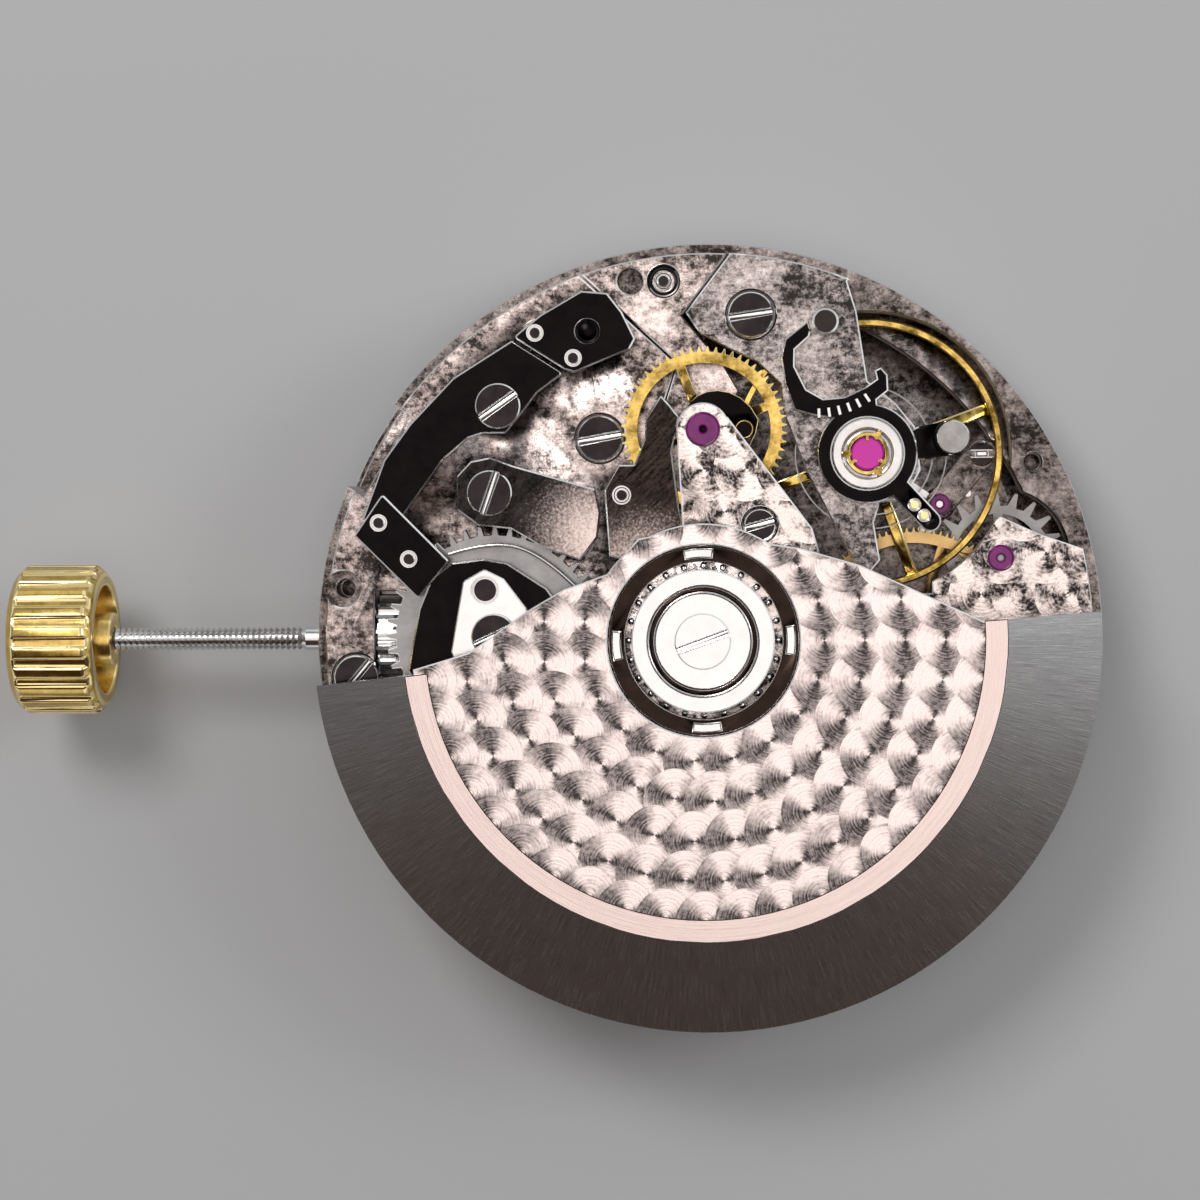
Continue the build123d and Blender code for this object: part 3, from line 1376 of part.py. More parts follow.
# Automatic works
def make_reversing_pinion():
    body = gear(
        reversing_at, reversing_leaves, reversing_pinion_r, reversing_phase,
        winding_z, winding_z + winding_t,
    )
    body += cylinder(reversing_at, arbor_r, bridge_top + shake, race_gear_top + air)
    return body + cylinder(reversing_at, pivot_r, upper_jewel_z, bridge_top + air)


def make_reversing_wheel():
    body = gear(
        reversing_at, reversing_teeth, reversing_r, reversing_top_phase, race_z, race_gear_top, arbor_r + play
    )
    outer = root_radius(reversing_teeth, reversing_r) - rim_w / 2
    return body - arm_windows(reversing_at, 4, outer, hub_r, arm_w, race_z, race_gear_top)


def make_outer_race():
    body = gear(centre, rotor_teeth, rotor_gear_r, 0, race_z, race_gear_top, race_inner_r)
    body += ring(centre, rotor_hole_r - play, race_inner_r, race_z, race_top)
    tabs = ring(centre, tab_r + tab_w, tab_r, race_top - play, tab_top)
    for angle in tab_angles:
        wedge = [
            centre, around(centre, rotor_hub_r, angle - tab_spread / 2),
            around(centre, rotor_hub_r, angle + tab_spread / 2),
        ]
        body += tabs & plate(wedge, 0, total_height)
    return body


def make_inner_race():
    body = ring(centre, hub_race_r, auto_post_r + play / 2, auto_top, hub_race_top)
    groove_low = hub_race_top - hub_groove_t
    return body - ring(centre, hub_groove_outer, hub_groove_inner, groove_low, total_height)


def make_balls():
    reach = (hub_race_r + race_inner_r) / 2
    height = (race_z + race_top) / 2
    places = [around(centre, reach, 360 * number / ball_count) for number in range(ball_count)]
    return [Pos(at[0], at[1], height) * Sphere(ball_r) for at in places]


def make_rotor_plate():
    lower = [(weight_lap_r, -weight_lap_r), (-weight_lap_r, -weight_lap_r)]
    body = plate(outline(rotor_edge_shares) + lower, rotor_plate_z, rotor_top)
    body &= cylinder(centre, weight_lap_r - play, 0, total_height)
    body += cylinder(centre, rotor_hub_r, rotor_plate_z, rotor_top)
    return body - cylinder(centre, rotor_hole_r, 0, total_height)


def make_rotor_weight():
    profile = [
        (weight_lap_r, weight_floor), (weight_outer_r, weight_floor), (weight_outer_r, weight_edge_z),
        (weight_inner_r, weight_land_z), (groove_r, weight_land_z), (groove_r, rotor_top + play / 2),
        (weight_lap_r, rotor_top + play / 2),
    ]
    face = Plane.XZ * flat(profile)
    return Rot(0, 0, weight_start_angle) * revolve(face, Axis.Z, weight_sweep)


# Motion works and calendar
def make_minute_wheel():
    wheel_top = minute_wheel_z + minute_wheel_t
    body = gear(minute_at, minute_teeth, minute_r, minute_phase, minute_wheel_z, wheel_top)
    body += gear(minute_at, minute_leaves, minute_pinion_r, minute_phase, hour_wheel_z, minute_wheel_z)
    return body - cylinder(minute_at, stud_r + play, 0, works_roof)


def make_cannon_pinion():
    top = minute_wheel_z + minute_wheel_t
    body = gear(centre, cannon_teeth, cannon_r, cannon_phase, minute_wheel_z, top)
    body += hand_post(centre, cannon_seat_r, cannon_post_end, hour_post_end, cannon_pipe_r, top)
    return body - cylinder(centre, centre_tube_r + play, -total_height, total_height)


def make_hour_wheel():
    body = gear(centre, hour_teeth, hour_r, hour_phase, hour_wheel_z, hour_wheel_z + hour_wheel_t)
    body += gear(centre, date_leaves, date_pinion_r, hour_phase, date_pinion_z, hour_wheel_z)
    body += hand_post(centre, hour_seat_r, hour_post_end, 0, hour_pipe_r, hour_wheel_z)
    return body - cylinder(centre, cannon_pipe_r + play, -total_height, total_height)


def make_setting_wheel():
    body = gear(setting_at, setting_teeth, setting_r, setting_phase, minute_wheel_z, setting_top)
    return body - cylinder(setting_at, stud_r + play, 0, bridge_floor)


def make_intermediate_wheel():
    top = minute_wheel_z + minute_wheel_t
    body = gear(intermediate_at, intermediate_teeth, intermediate_r, intermediate_phase, minute_wheel_z, top)
    return body - cylinder(intermediate_at, stud_r + play, 0, bridge_floor)


def make_date_driving_wheel():
    top = date_pinion_z + date_pinion_t
    body = gear(date_wheel_at, date_wheel_teeth, date_wheel_r, date_phase, date_pinion_z, top)
    tip = around(date_wheel_at, date_finger_r - date_finger_w / 2, date_finger_angle)
    body += bar(date_wheel_at, tip, date_finger_w, date_finger_z, date_pinion_z + play)
    body += cylinder(date_wheel_at, hub_r, date_finger_z, date_pinion_z + play)
    return body - cylinder(date_wheel_at, stud_r + play, 0, works_roof)


def make_date_ring():
    body = ring(centre, date_ring_outer, date_ring_inner, date_ring_z, date_ring_z + date_ring_t)
    low = date_ring_inner - date_tooth
    for number in range(date_ring_teeth):
        tooth = block(
            (low, -date_tooth_w / 2, date_ring_z),
            (date_ring_inner + play, date_tooth_w / 2, date_ring_z + date_ring_t),
        )
        body += Rot(0, 0, 360 * (number + 0.5) / date_ring_teeth) * tooth
    return body


# Jewels
for jewel_at in (escape_at, third_at, pallet_at, clutch_at, balance_at):
    jewel(jewel_at, lower_jewel_z)
for jewel_at in (seconds_at, counter_at):
    jewel(jewel_at, lower_jewel_z, post_r)
for jewel_at in (second_at, third_at, seconds_at):
    jewel(jewel_at, upper_jewel_z)
jewel(escape_at, upper_jewel_z, pivot_r, escape_jewel_r)
jewel(clutch_at, upper_jewel_z, pivot_r, escape_jewel_r)
jewel(centre, upper_jewel_z, centre_arbor_r)
jewel(counter_at, upper_jewel_z, arbor_r)
jewel(counter_at, auto_jewel_z)
jewel(reversing_at, auto_jewel_z, arbor_r)
jewel(centre, auto_floor, pivot_r, escape_jewel_r, centre_jewel_t)
jewel(pallet_at, pallet_bridge_z + play, pivot_r, pallet_jewel_r, pallet_bridge_top - pallet_bridge_z - play)
jewels.append(
    cylinder(balance_at, shock_jewel_r, shock_jewel_z, shock_jewel_top)
    - cylinder(balance_at, pivot_r + play, shock_jewel_z, shock_jewel_z + 2 * play)
)

# Screws and pins
screw(lever_screw_at, lever_top + play, big_head_r, 35)
screw(spring_screw_at, spring_plate_top, big_head_r, 70)
screw(bridge_screw_at, bridge_seat, big_head_r, 10)
screw(cock_screw_at, cock_seat, big_head_r, 8)
screw(clamp_screw_at, bridge_seat, big_head_r, 50)
screw(crown_wheel_at, click_plate_top, big_head_r, 25)
for number, pillar_at in enumerate(rim_pillars):
    screw(pillar_at, bridge_seat, big_head_r, 40 * number)
for number, foot_at in enumerate(auto_foot_places):
    screw(foot_at, auto_seat, small_head_r, 15 + 50 * number, auto_screw_length)
screw(centre, hub_race_top, rotor_screw_r, 20, rotor_screw_length, total_height - hub_race_top)
screw(pallet_foot_at, pallet_bridge_top, small_head_r * 0.8, 0, pallet_screw_length, head_t / 2)
for angle in calendar_boss_angles:
    boss_at = around(centre, casing_r * calendar_boss_share, angle)
    calendar_screw = cylinder(boss_at, small_head_r, 0, calendar_head_t)
    slot = Rot(0, 0, angle) * Box(3 * small_head_r, slot_w, calendar_head_t)
    calendar_screw -= Pos(boss_at[0], boss_at[1], 0) * slot
    shank_r = small_head_r * shank_share
    screws.append(calendar_screw + cylinder(boss_at, shank_r, calendar_head_t, calendar_screw_top))
for pin_at in end_pins:
    pin(pin_at, lever_floor - cut, end_plate_top + play)
for pin_at in retaining_pins:
    pin(pin_at, retaining_z, retaining_top + play)
pin(hammer_pin_at, hammer_z - cut, hammer_top + play / 2)
pin(cover_pin_at, cover_top, click_plate_top, cover_pin_r)
pin(ring_pin_at, bridge_seat, bridge_top + air, pin_r)
pins.append(
    cylinder(eccentric_at, pin_r, bridge_top, cock_top)
    + cylinder(eccentric_at, eccentric_r, cock_top, index_top + air)
)

# All nodes
save("main_plate", make_main_plate())
save("barrel_bridge", make_barrel_bridge())
save("train_bridge", make_train_bridge())
save("chronograph_plate", make_chronograph_plate())
save("balance_cock", make_balance_cock())
save("automatic_bridge", make_automatic_bridge())
save("pallet_bridge", make_pallet_bridge())
save("calendar_plate", make_calendar_plate())
save("jewels", *jewels)
save("slotted_screws", *screws)
save("pins", *pins)
save("shock_setting", make_shock_setting())
save("shock_spring", make_shock_spring())
save("regulator_index", make_regulator_index())
save("stud_carrier", make_stud_carrier())
save("hairspring", make_hairspring())
save("lever_end_plate", make_lever_end_plate())
save("hammer_spring_plate", make_hammer_spring_plate())
save("lever_retaining_plate", make_retaining_plate())
save("winding_cover", make_winding_cover())
save("click_plate", make_click_plate())
save("wire_spring", make_wire_spring())
save("click", make_click())
save("bearing_inner_race", make_inner_race())
save("bearing_balls", *make_balls())
save("bearing_outer_race", make_outer_race())
save("rotor_plate", make_rotor_plate())
save("rotor_weight", make_rotor_weight())
save("reversing_wheel", make_reversing_wheel())
save("reversing_pinion", make_reversing_pinion())
save("barrel", make_barrel())
save("barrel_arbor", make_barrel_arbor())
save("mainspring", make_mainspring())
save("ratchet_wheel", make_ratchet_wheel())
save("crown_wheel", gear(
    crown_wheel_at, crown_wheel_teeth, crown_wheel_r, 0, winding_z, winding_z + winding_t, crown_core_r + play
))
save("winding_pinion", make_winding_pinion())
save("sliding_pinion", make_sliding_pinion())
save("stem", make_stem())
save("crown", make_crown())
save("setting_lever", make_setting_lever())
save("yoke", make_yoke())
save("setting_wheel", make_setting_wheel())
save("intermediate_setting_wheel", make_intermediate_wheel())
save("second_wheel", make_second_wheel())
save("third_wheel", make_third_wheel())
save("seconds_wheel", make_seconds_wheel())
save("escape_wheel", make_escape_wheel())
save("pallet_fork", make_pallet_fork())
save("balance_wheel", make_balance_wheel())
save("minute_wheel", make_minute_wheel())
save("cannon_pinion", make_cannon_pinion())
save("hour_wheel", make_hour_wheel())
save("date_ring", make_date_ring())
save("date_driving_wheel", make_date_driving_wheel())
save("chronograph_wheel", make_chronograph_wheel())
save("minute_counter_wheel", make_minute_counter_wheel())
save("minute_counter_idler", make_idler())
save("oscillating_pinion", make_oscillating_pinion())
save("reset_hammer", make_reset_hammer())
save("operating_lever", make_operating_lever())
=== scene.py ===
import json
import math

import bmesh
import bpy
from mathutils import Matrix, Vector


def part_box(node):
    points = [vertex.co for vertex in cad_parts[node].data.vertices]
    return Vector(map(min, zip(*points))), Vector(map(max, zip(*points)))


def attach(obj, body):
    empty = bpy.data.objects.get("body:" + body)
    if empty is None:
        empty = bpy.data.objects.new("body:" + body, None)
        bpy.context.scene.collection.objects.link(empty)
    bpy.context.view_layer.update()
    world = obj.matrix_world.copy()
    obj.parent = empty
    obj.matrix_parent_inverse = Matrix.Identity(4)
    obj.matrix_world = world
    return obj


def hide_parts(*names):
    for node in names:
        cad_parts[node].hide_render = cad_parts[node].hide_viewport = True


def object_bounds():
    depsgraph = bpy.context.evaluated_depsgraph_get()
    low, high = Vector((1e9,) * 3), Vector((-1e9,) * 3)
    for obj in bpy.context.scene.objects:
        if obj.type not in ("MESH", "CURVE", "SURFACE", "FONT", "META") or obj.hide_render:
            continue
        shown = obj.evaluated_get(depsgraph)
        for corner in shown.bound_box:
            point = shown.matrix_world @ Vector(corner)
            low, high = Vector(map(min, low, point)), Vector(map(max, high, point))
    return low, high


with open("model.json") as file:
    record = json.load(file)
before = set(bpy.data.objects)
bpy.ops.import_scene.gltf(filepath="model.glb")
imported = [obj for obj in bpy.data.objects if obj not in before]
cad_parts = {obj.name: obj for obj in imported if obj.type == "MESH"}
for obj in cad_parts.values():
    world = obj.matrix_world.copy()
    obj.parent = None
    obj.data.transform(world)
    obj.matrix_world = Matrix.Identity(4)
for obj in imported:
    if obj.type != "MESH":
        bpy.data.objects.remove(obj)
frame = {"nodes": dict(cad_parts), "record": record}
nodes = frame["nodes"]
cad_box = [list(corner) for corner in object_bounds()]
mm = 0.001
scene = bpy.context.scene
scene.view_settings.view_transform = "Standard"

# Floor, light and camera
# A pale floor under the dial-side posts, two soft lamps, and the camera of the photograph, almost straight
# above and a little to the upper right.
floor_half = 400 * mm
floor_colour = (0.50, 0.51, 0.52, 1)
camera_place = Vector((5.256, 5.461, 126.88)) * mm
camera_forward = Vector((-0.07614, -0.03269, -1)).normalized()
camera_roll = 0.00862
camera_lens = 96.4
sensor_width = 36
lamps = {
    "lamp_over": {"place": (-70, 110, 200), "size": 80, "power": 0.20, "colour": (1, 0.97, 0.95)},
    "lamp_side": {"place": (190, 60, 150), "size": 70, "power": 0.10, "colour": (0.96, 0.98, 1)},
}


def square_mesh(name, half, height):
    """A level square about the middle."""
    mesh = bpy.data.meshes.new(name)
    corners = [(-half, -half, height), (half, -half, height), (half, half, height), (-half, half, height)]
    mesh.from_pydata(corners, [], [(0, 1, 2, 3)])
    return mesh


def place_object(name, data):
    """A new object in the scene."""
    made = bpy.data.objects.new(name, data)
    scene.collection.objects.link(made)
    return made


def lamp(name, place, size, power, colour):
    """A square soft lamp that looks at the middle of the movement."""
    made = place_object(name, bpy.data.lights.new(name, "AREA"))
    made.data.shape = "SQUARE"
    made.data.size = size * mm
    made.data.energy = power
    made.data.color = colour
    made.location = Vector(place) * mm
    made.rotation_euler = (-Vector(place)).to_track_quat("-Z", "Y").to_euler()


floor = place_object("floor", square_mesh("floor", floor_half, cad_box[0][2]))

camera = place_object("camera", bpy.data.cameras.new("camera"))
camera.data.lens = camera_lens
camera.data.sensor_width = sensor_width
camera.data.clip_start = mm
camera_up = Vector((math.sin(camera_roll), math.cos(camera_roll), 0))
camera_right = camera_forward.cross(camera_up).normalized()
camera_up = camera_right.cross(camera_forward)
turn = Matrix((camera_right, camera_up, -camera_forward)).transposed().to_4x4()
camera.matrix_world = Matrix.Translation(camera_place) @ turn
scene.camera = camera

for lamp_name, lamp_facts in lamps.items():
    lamp(lamp_name, **lamp_facts)


# Surroundings
# A studio with a bright card straight overhead, a bright band low down all round, and between them walls that
# are grey on the left, pale on the right and behind, and nearly black in front.
class Value:
    """A socket, with the sums that the finishes use."""

    def __init__(self, tree, socket):
        self.tree = tree
        self.socket = socket

    def sum(self, operation, *others):
        """A Math node on this socket and the others."""
        inputs = dict(enumerate((self,) + others))
        return self.tree.node("ShaderNodeMath", {"operation": operation}, inputs)

    def __add__(self, other):
        return self.sum("ADD", other)

    def __sub__(self, other):
        return self.sum("SUBTRACT", other)

    def __rsub__(self, other):
        return (self * -1) + other

    def __mul__(self, other):
        return self.sum("MULTIPLY", other)

    def __truediv__(self, other):
        return self.sum("DIVIDE", other)

    def __lt__(self, other):
        return self.sum("LESS_THAN", other)

    def __gt__(self, other):
        return self.sum("GREATER_THAN", other)

    def __pow__(self, other):
        return self.sum("POWER", other)

    __radd__ = __add__
    __rmul__ = __mul__


class Tree:
    """A node tree that is built one node at a time."""

    def __init__(self, nodes_of):
        self.tree = nodes_of

    def node(self, kind, settings, inputs, output=0):
        """One node: its settings first, then the values or links of its sockets."""
        made = self.tree.nodes.new(kind)
        for name, value in settings.items():
            setattr(made, name, value)
        for key, value in inputs.items():
            self.feed(made.inputs[key], value)
        return Value(self, made.outputs[output])

    def feed(self, socket, value):
        """Links a value to a socket, or sets the socket to a plain number, colour or vector."""
        if isinstance(value, Value):
            self.tree.links.new(value.socket, socket)
        else:
            socket.default_value = value

    def parts(self, vector):
        """The three numbers of a vector."""
        apart = self.tree.nodes.new("ShaderNodeSeparateXYZ")
        self.tree.links.new(vector.socket, apart.inputs[0])
        return [Value(self, socket) for socket in apart.outputs]

    def vector(self, x, y, z):
        """A vector from three numbers."""
        return self.node("ShaderNodeCombineXYZ", {}, {0: x, 1: y, 2: z})

    def blend(self, factor, low, high):
        """A colour between two colours, which have sockets 6 and 7 of a mix and come out at its third."""
        return self.node("ShaderNodeMix", {"data_type": "RGBA"}, {0: factor, 6: low, 7: high}, 2)

    def step(self, value, low, high):
        """A smooth rise from 0 to 1 as the value goes from low to high."""
        settings = {"interpolation_type": "SMOOTHSTEP"}
        return self.node("ShaderNodeMapRange", settings, {0: value, 1: low, 2: high, 3: 0, 4: 1})


def shade(value):
    """A grey or a three-number colour as four numbers."""
    if isinstance(value, (int, float)):
        value = (value,) * 3
    return tuple(value) + (1,)


left_wall = shade((0.24, 0.24, 0.25))
right_wall = shade((0.62, 0.64, 0.66))
front_wall = shade((0.055, 0.034, 0.026))
overhead_card = shade((1.30, 1.20, 1.15))
low_band = shade(0.95)
ground = shade(0.25)
left_to_right = (-0.5, 0.6)
front_to_back = (-0.45, 0.15)
card_rim = (0.925, 0.965)
band_rim = (0.16, 0.34)
ground_rim = (-0.12, 0.02)


def make_surroundings():
    """The world's colour by direction: x to the right, y to the back and z up."""
    world = bpy.data.worlds.new("studio")
    world.use_nodes = True
    sky = Tree(world.node_tree)
    x, y, z = sky.parts(sky.node("ShaderNodeTexCoord", {}, {}, "Generated"))
    sideways = sky.blend(sky.step(x, *left_to_right), left_wall, right_wall)
    walls = sky.blend(sky.step(y, *front_to_back), front_wall, sideways)
    card = sky.blend(sky.step(z, *card_rim), walls, overhead_card)
    above = sky.blend(sky.step(z, *band_rim), low_band, card)
    everywhere = sky.blend(sky.step(z, *ground_rim), ground, above)
    sky.feed(world.node_tree.nodes["Background"].inputs[0], everywhere)
    scene.world = world


make_surroundings()


# Main plate
# The disc that carries everything, turned from brass, nickel plated and finely grained. Its flange stands on
# the rim of the case, and every edge is broken with a bright bevel.
class Finish(Tree):
    """A node material that is built step by step on one Principled shader."""

    def __init__(self, name, **constants):
        self.material = bpy.data.materials.new(name)
        self.material.use_nodes = True
        super().__init__(self.material.node_tree)
        self.shader = self.tree.nodes["Principled BSDF"]
        for socket, value in constants.items():
            self.shader.inputs[socket].default_value = value

    def set(self, name, value):
        """Feeds one socket of the shader."""
        self.feed(self.shader.inputs[name], value)

    def here(self):
        """Object coordinates in millimetres, as a vector and as its three numbers."""
        place = self.node("ShaderNodeTexCoord", {}, {}, "Object")
        scaled = self.node("ShaderNodeVectorMath", {"operation": "SCALE"}, {0: place, "Scale": 1 / mm})
        return scaled, self.parts(scaled)

    def noise(self, place, scale=1.0, detail=2, roughness=0.5):
        """Clouds of noise, from 0 to 1. The scale is how many of them there are to a millimetre."""
        inputs = {"Vector": place, "Scale": scale, "Detail": detail, "Roughness": roughness}
        return self.node("ShaderNodeTexNoise", {}, inputs)

    def bump(self, height, depth, strength=1.0):
        """A relief that is so many millimetres deep."""
        inputs = {"Height": height, "Distance": depth * mm, "Strength": strength}
        return self.node("ShaderNodeBump", {}, inputs)


weld = 0.0005 * mm
flat_angle = math.radians(0.6)
bevel_angle = math.radians(40)
sharp_angle = math.radians(30)
level_cosine = 0.999
wall_cosine = 0.3
corner_reach = 7.0
round_steps = 2
edge_slot = 1
extra_slot = 2
plate_edge = 0.04
thin_edge = 0.03
home = {}
for body_name, members in frame["record"]["behaviour"]["bodies"].items():
    for member in members:
        home[member] = body_name


def merged(name):
    """A merged copy of a node's mesh, with its flat faces joined."""
    mesh = bmesh.new()
    mesh.from_mesh(nodes[name].data)
    bmesh.ops.remove_doubles(mesh, verts=mesh.verts, dist=weld)
    bmesh.ops.dissolve_limit(mesh, angle_limit=flat_angle, verts=mesh.verts, edges=mesh.edges)
    mesh.normal_update()
    return mesh


def inner_corners(level):
    """The corners of level faces where a wall rises from them or falls away gently."""
    kept = set()
    for edge in {edge for face in level for edge in face.edges}:
        rim = len(edge.link_faces) == 2 and not level.issuperset(edge.link_faces)
        if rim and edge.calc_face_angle_signed(0) < bevel_angle:
            kept.update(edge.verts)
    return kept


def ring_quads(ring, outer):
    """Each four-sided face of the ring: two corners on the rim, their two partners and the edge within."""
    for loop in [loop for face in ring if len(face.verts) == 4 for loop in face.loops]:
        ahead = loop.link_loop_next
        far = ahead.link_loop_next
        if loop.vert in outer and ahead.vert in outer:
            yield loop.vert, ahead.vert, far.vert, far.link_loop_next.vert, far.edge


def break_edges(mesh, width, side):
    """Chamfers the level faces that look up, side 1, or down, side -1, wherever their rim stands free."""
    level = [face for face in mesh.faces if face.normal.z * side > level_cosine]
    kept = inner_corners(set(level))
    inset = bmesh.ops.inset_region(
        mesh, faces=level, use_boundary=True, use_even_offset=True, thickness=width
    )
    ring = inset["faces"]
    inside = set(level) | set(ring)
    outer = {vert for face in ring for vert in face.verts if not inside.issuperset(vert.link_faces)}
    for rim_a, rim_b, inner_b, inner_a, _ in ring_quads(ring, outer):
        for rim, inner in ((rim_a, inner_a), (rim_b, inner_b)):
            step = inner.co - rim.co
            inner.co = rim.co + step * min(1, corner_reach * width / max(step.length, weld))
    turned = []
    for rim_a, rim_b, inner_b, inner_a, edge in ring_quads(ring, outer):
        if (rim_b.co - rim_a.co).dot(inner_b.co - inner_a.co) <= 0:
            turned.append(edge)
    for vert in outer - kept:
        vert.co.z -= side * width
    for face in ring:
        face.normal_update()
        if abs(face.normal.z) < level_cosine:
            face.material_index = edge_slot
    bmesh.ops.collapse(mesh, edges=turned)
    mesh.normal_update()


def plain_mesh(piece):
    """Turns a piece and its modifiers into a plain mesh."""
    graph = bpy.context.evaluated_depsgraph_get()
    data = bpy.data.meshes.new_from_object(piece.evaluated_get(graph))
    piece.modifiers.clear()
    piece.data = data


def rounded(piece, width):
    """Rounds the edges of a piece that has no level faces."""
    bevel = piece.modifiers.new("bevel", "BEVEL")
    bevel.width = width
    bevel.segments = round_steps
    bevel.limit_method = "ANGLE"
    bevel.angle_limit = bevel_angle
    bevel.use_clamp_overlap = False
    bevel.material = edge_slot
    plain_mesh(piece)


def paint(finish, *names):
    """Gives CAD nodes their finish."""
    for name in names:
        slots = nodes[name].data.materials
        slots.clear()
        slots.append(finish.material)


def edged(name, width, finishes, sort_faces=None, sides=(1,), sharp=sharp_angle):
    """A copy of a node with broken edges in the second finish, which then replaces the node."""
    mesh = merged(name)
    if sort_faces:
        sort_faces(mesh)
    for side in sides:
        break_edges(mesh, width * mm, side)
    data = bpy.data.meshes.new(name)
    mesh.to_mesh(data)
    mesh.free()
    for finish in finishes:
        data.materials.append(finish.material)
    piece = place_object(name + "_edged", data)
    if not sides:
        rounded(piece, width * mm)
    piece.data.shade_smooth()
    piece.data.set_sharp_from_angle(angle=sharp)
    paint(finishes[0], name)
    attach(piece, home[name])
    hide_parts(name)


def speckled_metal(name, dark, light, level=0.36):
    """Plated metal with a fine grain that glitters in flecks, in softly darker and brighter patches."""
    finish = Finish(name, Metallic=1.0)
    place, (x, y, z) = finish.here()
    patches = finish.noise(place, scale=0.45, detail=3, roughness=0.6)
    flecks = finish.noise(place, scale=3.2, detail=6, roughness=0.85)
    strokes = finish.noise(finish.vector(x * 0.8, y * 5, z), detail=4, roughness=0.7)
    tone = (flecks - 0.5) * 3.4 + (patches - 0.5) * 2.2 + (strokes - 0.5) * 0.9 + level
    finish.set("Base Color", finish.blend(tone, shade(dark), shade(light)))
    finish.set("Roughness", flecks * 0.30 + 0.12)
    finish.set("Normal", finish.bump(flecks, depth=0.012))
    return finish


def polished_metal(name, dark, light, roughness, scratch=14, depth=0.003):
    """Plain polished metal with faint marks of its last polish."""
    finish = Finish(name, Metallic=1.0)
    place, (x, y, z) = finish.here()
    stretched = finish.vector(x * scratch * 0.35, y * scratch * 0.5, z * scratch)
    marks = finish.noise(stretched, detail=4, roughness=0.65)
    cloud = finish.noise(place, scale=1.3, detail=3)
    tone = marks * 0.4 + cloud * 0.9 - 0.15
    finish.set("Base Color", finish.blend(tone, shade(dark), shade(light)))
    finish.set("Roughness", marks * 0.10 + cloud * 0.06 + roughness)
    finish.set("Normal", finish.bump(marks, depth, strength=0.5))
    return finish


def walls_plain(mesh):
    """The upright walls of a plate are turned or milled, without any grain."""
    for face in mesh.faces:
        if abs(face.normal.z) < wall_cosine:
            face.material_index = extra_slot


plate_metal = speckled_metal("speckled_plate", (0.022, 0.018, 0.016), (0.44, 0.38, 0.36))
bright_edge = polished_metal("bright_edge", 0.72, 0.95, roughness=0.10)
turned_metal = polished_metal(
    "turned_metal", (0.22, 0.20, 0.19), (0.62, 0.56, 0.54), roughness=0.22, scratch=6
)
edged("main_plate", plate_edge, [plate_metal, bright_edge, turned_metal], walls_plain, sides=(1, -1))
edged("calendar_plate", plate_edge, [plate_metal, bright_edge], sides=(1, -1))
edged("pallet_bridge", thin_edge, [plate_metal, bright_edge])

# Bridges
# Plates of the same metal over the barrel, the train and the counter, and the cock of the balance, screwed
# down on the main plate. Those of the train and of the winding are polished in small round spots.
bridge_edge = 0.055
train_bridge_edge = 0.045
bridge_spot_pitch = 1.60
spot_reach_share = 0.76
spot_rings = 24
hole_places = [(-2.90, 13.64), (-1.60, 13.68)]
hole_reach = 0.6
hole_rim = 4.89
hole_slot = 3


def spot_field(finish, pitch, ringed):
    """Distance from, and angle about, the middle of the topmost polished spot, in spot pitches.

    The spots stand in staggered rows, which are straight or ring the middle of the movement."""
    _, (x, y, _) = finish.here()
    radius = (x * x + y * y) ** 0.5
    angle = y.sum("ARCTAN2", x) / math.tau
    across = None
    along = None
    for row_step in (0, 1):
        level = (radius if ringed else y) / pitch
        row = level.sum("FLOOR") + row_step
        if ringed:
            count = (row * math.tau).sum("ROUND")
            place = angle * count
        else:
            place = x / pitch + row.sum("MODULO", 2) * 0.5
        for step in (0, 1):
            spot = place.sum("FLOOR") + step
            dx = place - spot
            dy = level - row
            if across is None:
                across, along = dx, dy
                continue
            inside = (dx * dx + dy * dy) < spot_reach_share ** 2
            across = inside * dx + (1 - inside) * across
            along = inside * dy + (1 - inside) * along
    distance = (across * across + along * along) ** 0.5
    return distance, along.sum("ARCTAN2", across)


def spotted_metal(name, dark, light, pitch, ringed, speckle, waver):
    """Metal polished in overlapping round spots, each with fine rings about its middle and a painted
    highlight.
    """
    finish = Finish(name, Metallic=1.0)
    place, _ = finish.here()
    distance, angle = spot_field(finish, pitch, ringed)
    polar = finish.vector(distance * spot_rings, angle * 0.35, 0)
    rings = finish.noise(polar, detail=3, roughness=0.6)
    cloud = finish.noise(place, scale=0.55, detail=3)
    grit = finish.noise(place, scale=7, detail=4, roughness=0.75)
    # Painted highlight: each spot is painted bright on two opposite sides and dark between, as its rings
    # catch the light.
    painted_wedge_highlight = (angle * 2 + (cloud - 0.5) * waver + 3.1).sum("COSINE") * 0.5 + 0.5
    # A noise in patches sets how strong the painted highlight is, and also adds random tone.
    wear_and_highlight_patches = finish.noise(place, scale=0.9, detail=3, roughness=0.6)
    lines = (rings - 0.5) * 0.50 + (painted_wedge_highlight - 0.5) * (wear_and_highlight_patches * 0.8)
    tone = lines + (grit - 0.5) * speckle + (wear_and_highlight_patches - 0.5) * 0.5
    sharp = (tone + distance * 0.12 - 0.05) * 2.6 + 0.60
    finish.set("Base Color", finish.blend(sharp, shade(dark), shade(light)))
    finish.set("Roughness", rings * 0.16 + grit * 0.10 + 0.14)
    finish.set("Normal", finish.bump(rings + distance * 0.4 + grit * speckle, depth=0.010))
    return finish


def holes_dark(mesh):
    """The floors of the two small holes are painted near black, as painted shade."""
    walls_plain(mesh)
    for face in mesh.faces:
        middle = face.calc_center_median() / mm
        in_hole = any(math.hypot(middle.x - x, middle.y - y) < hole_reach for x, y in hole_places)
        if in_hole and middle.z < hole_rim:
            face.material_index = hole_slot


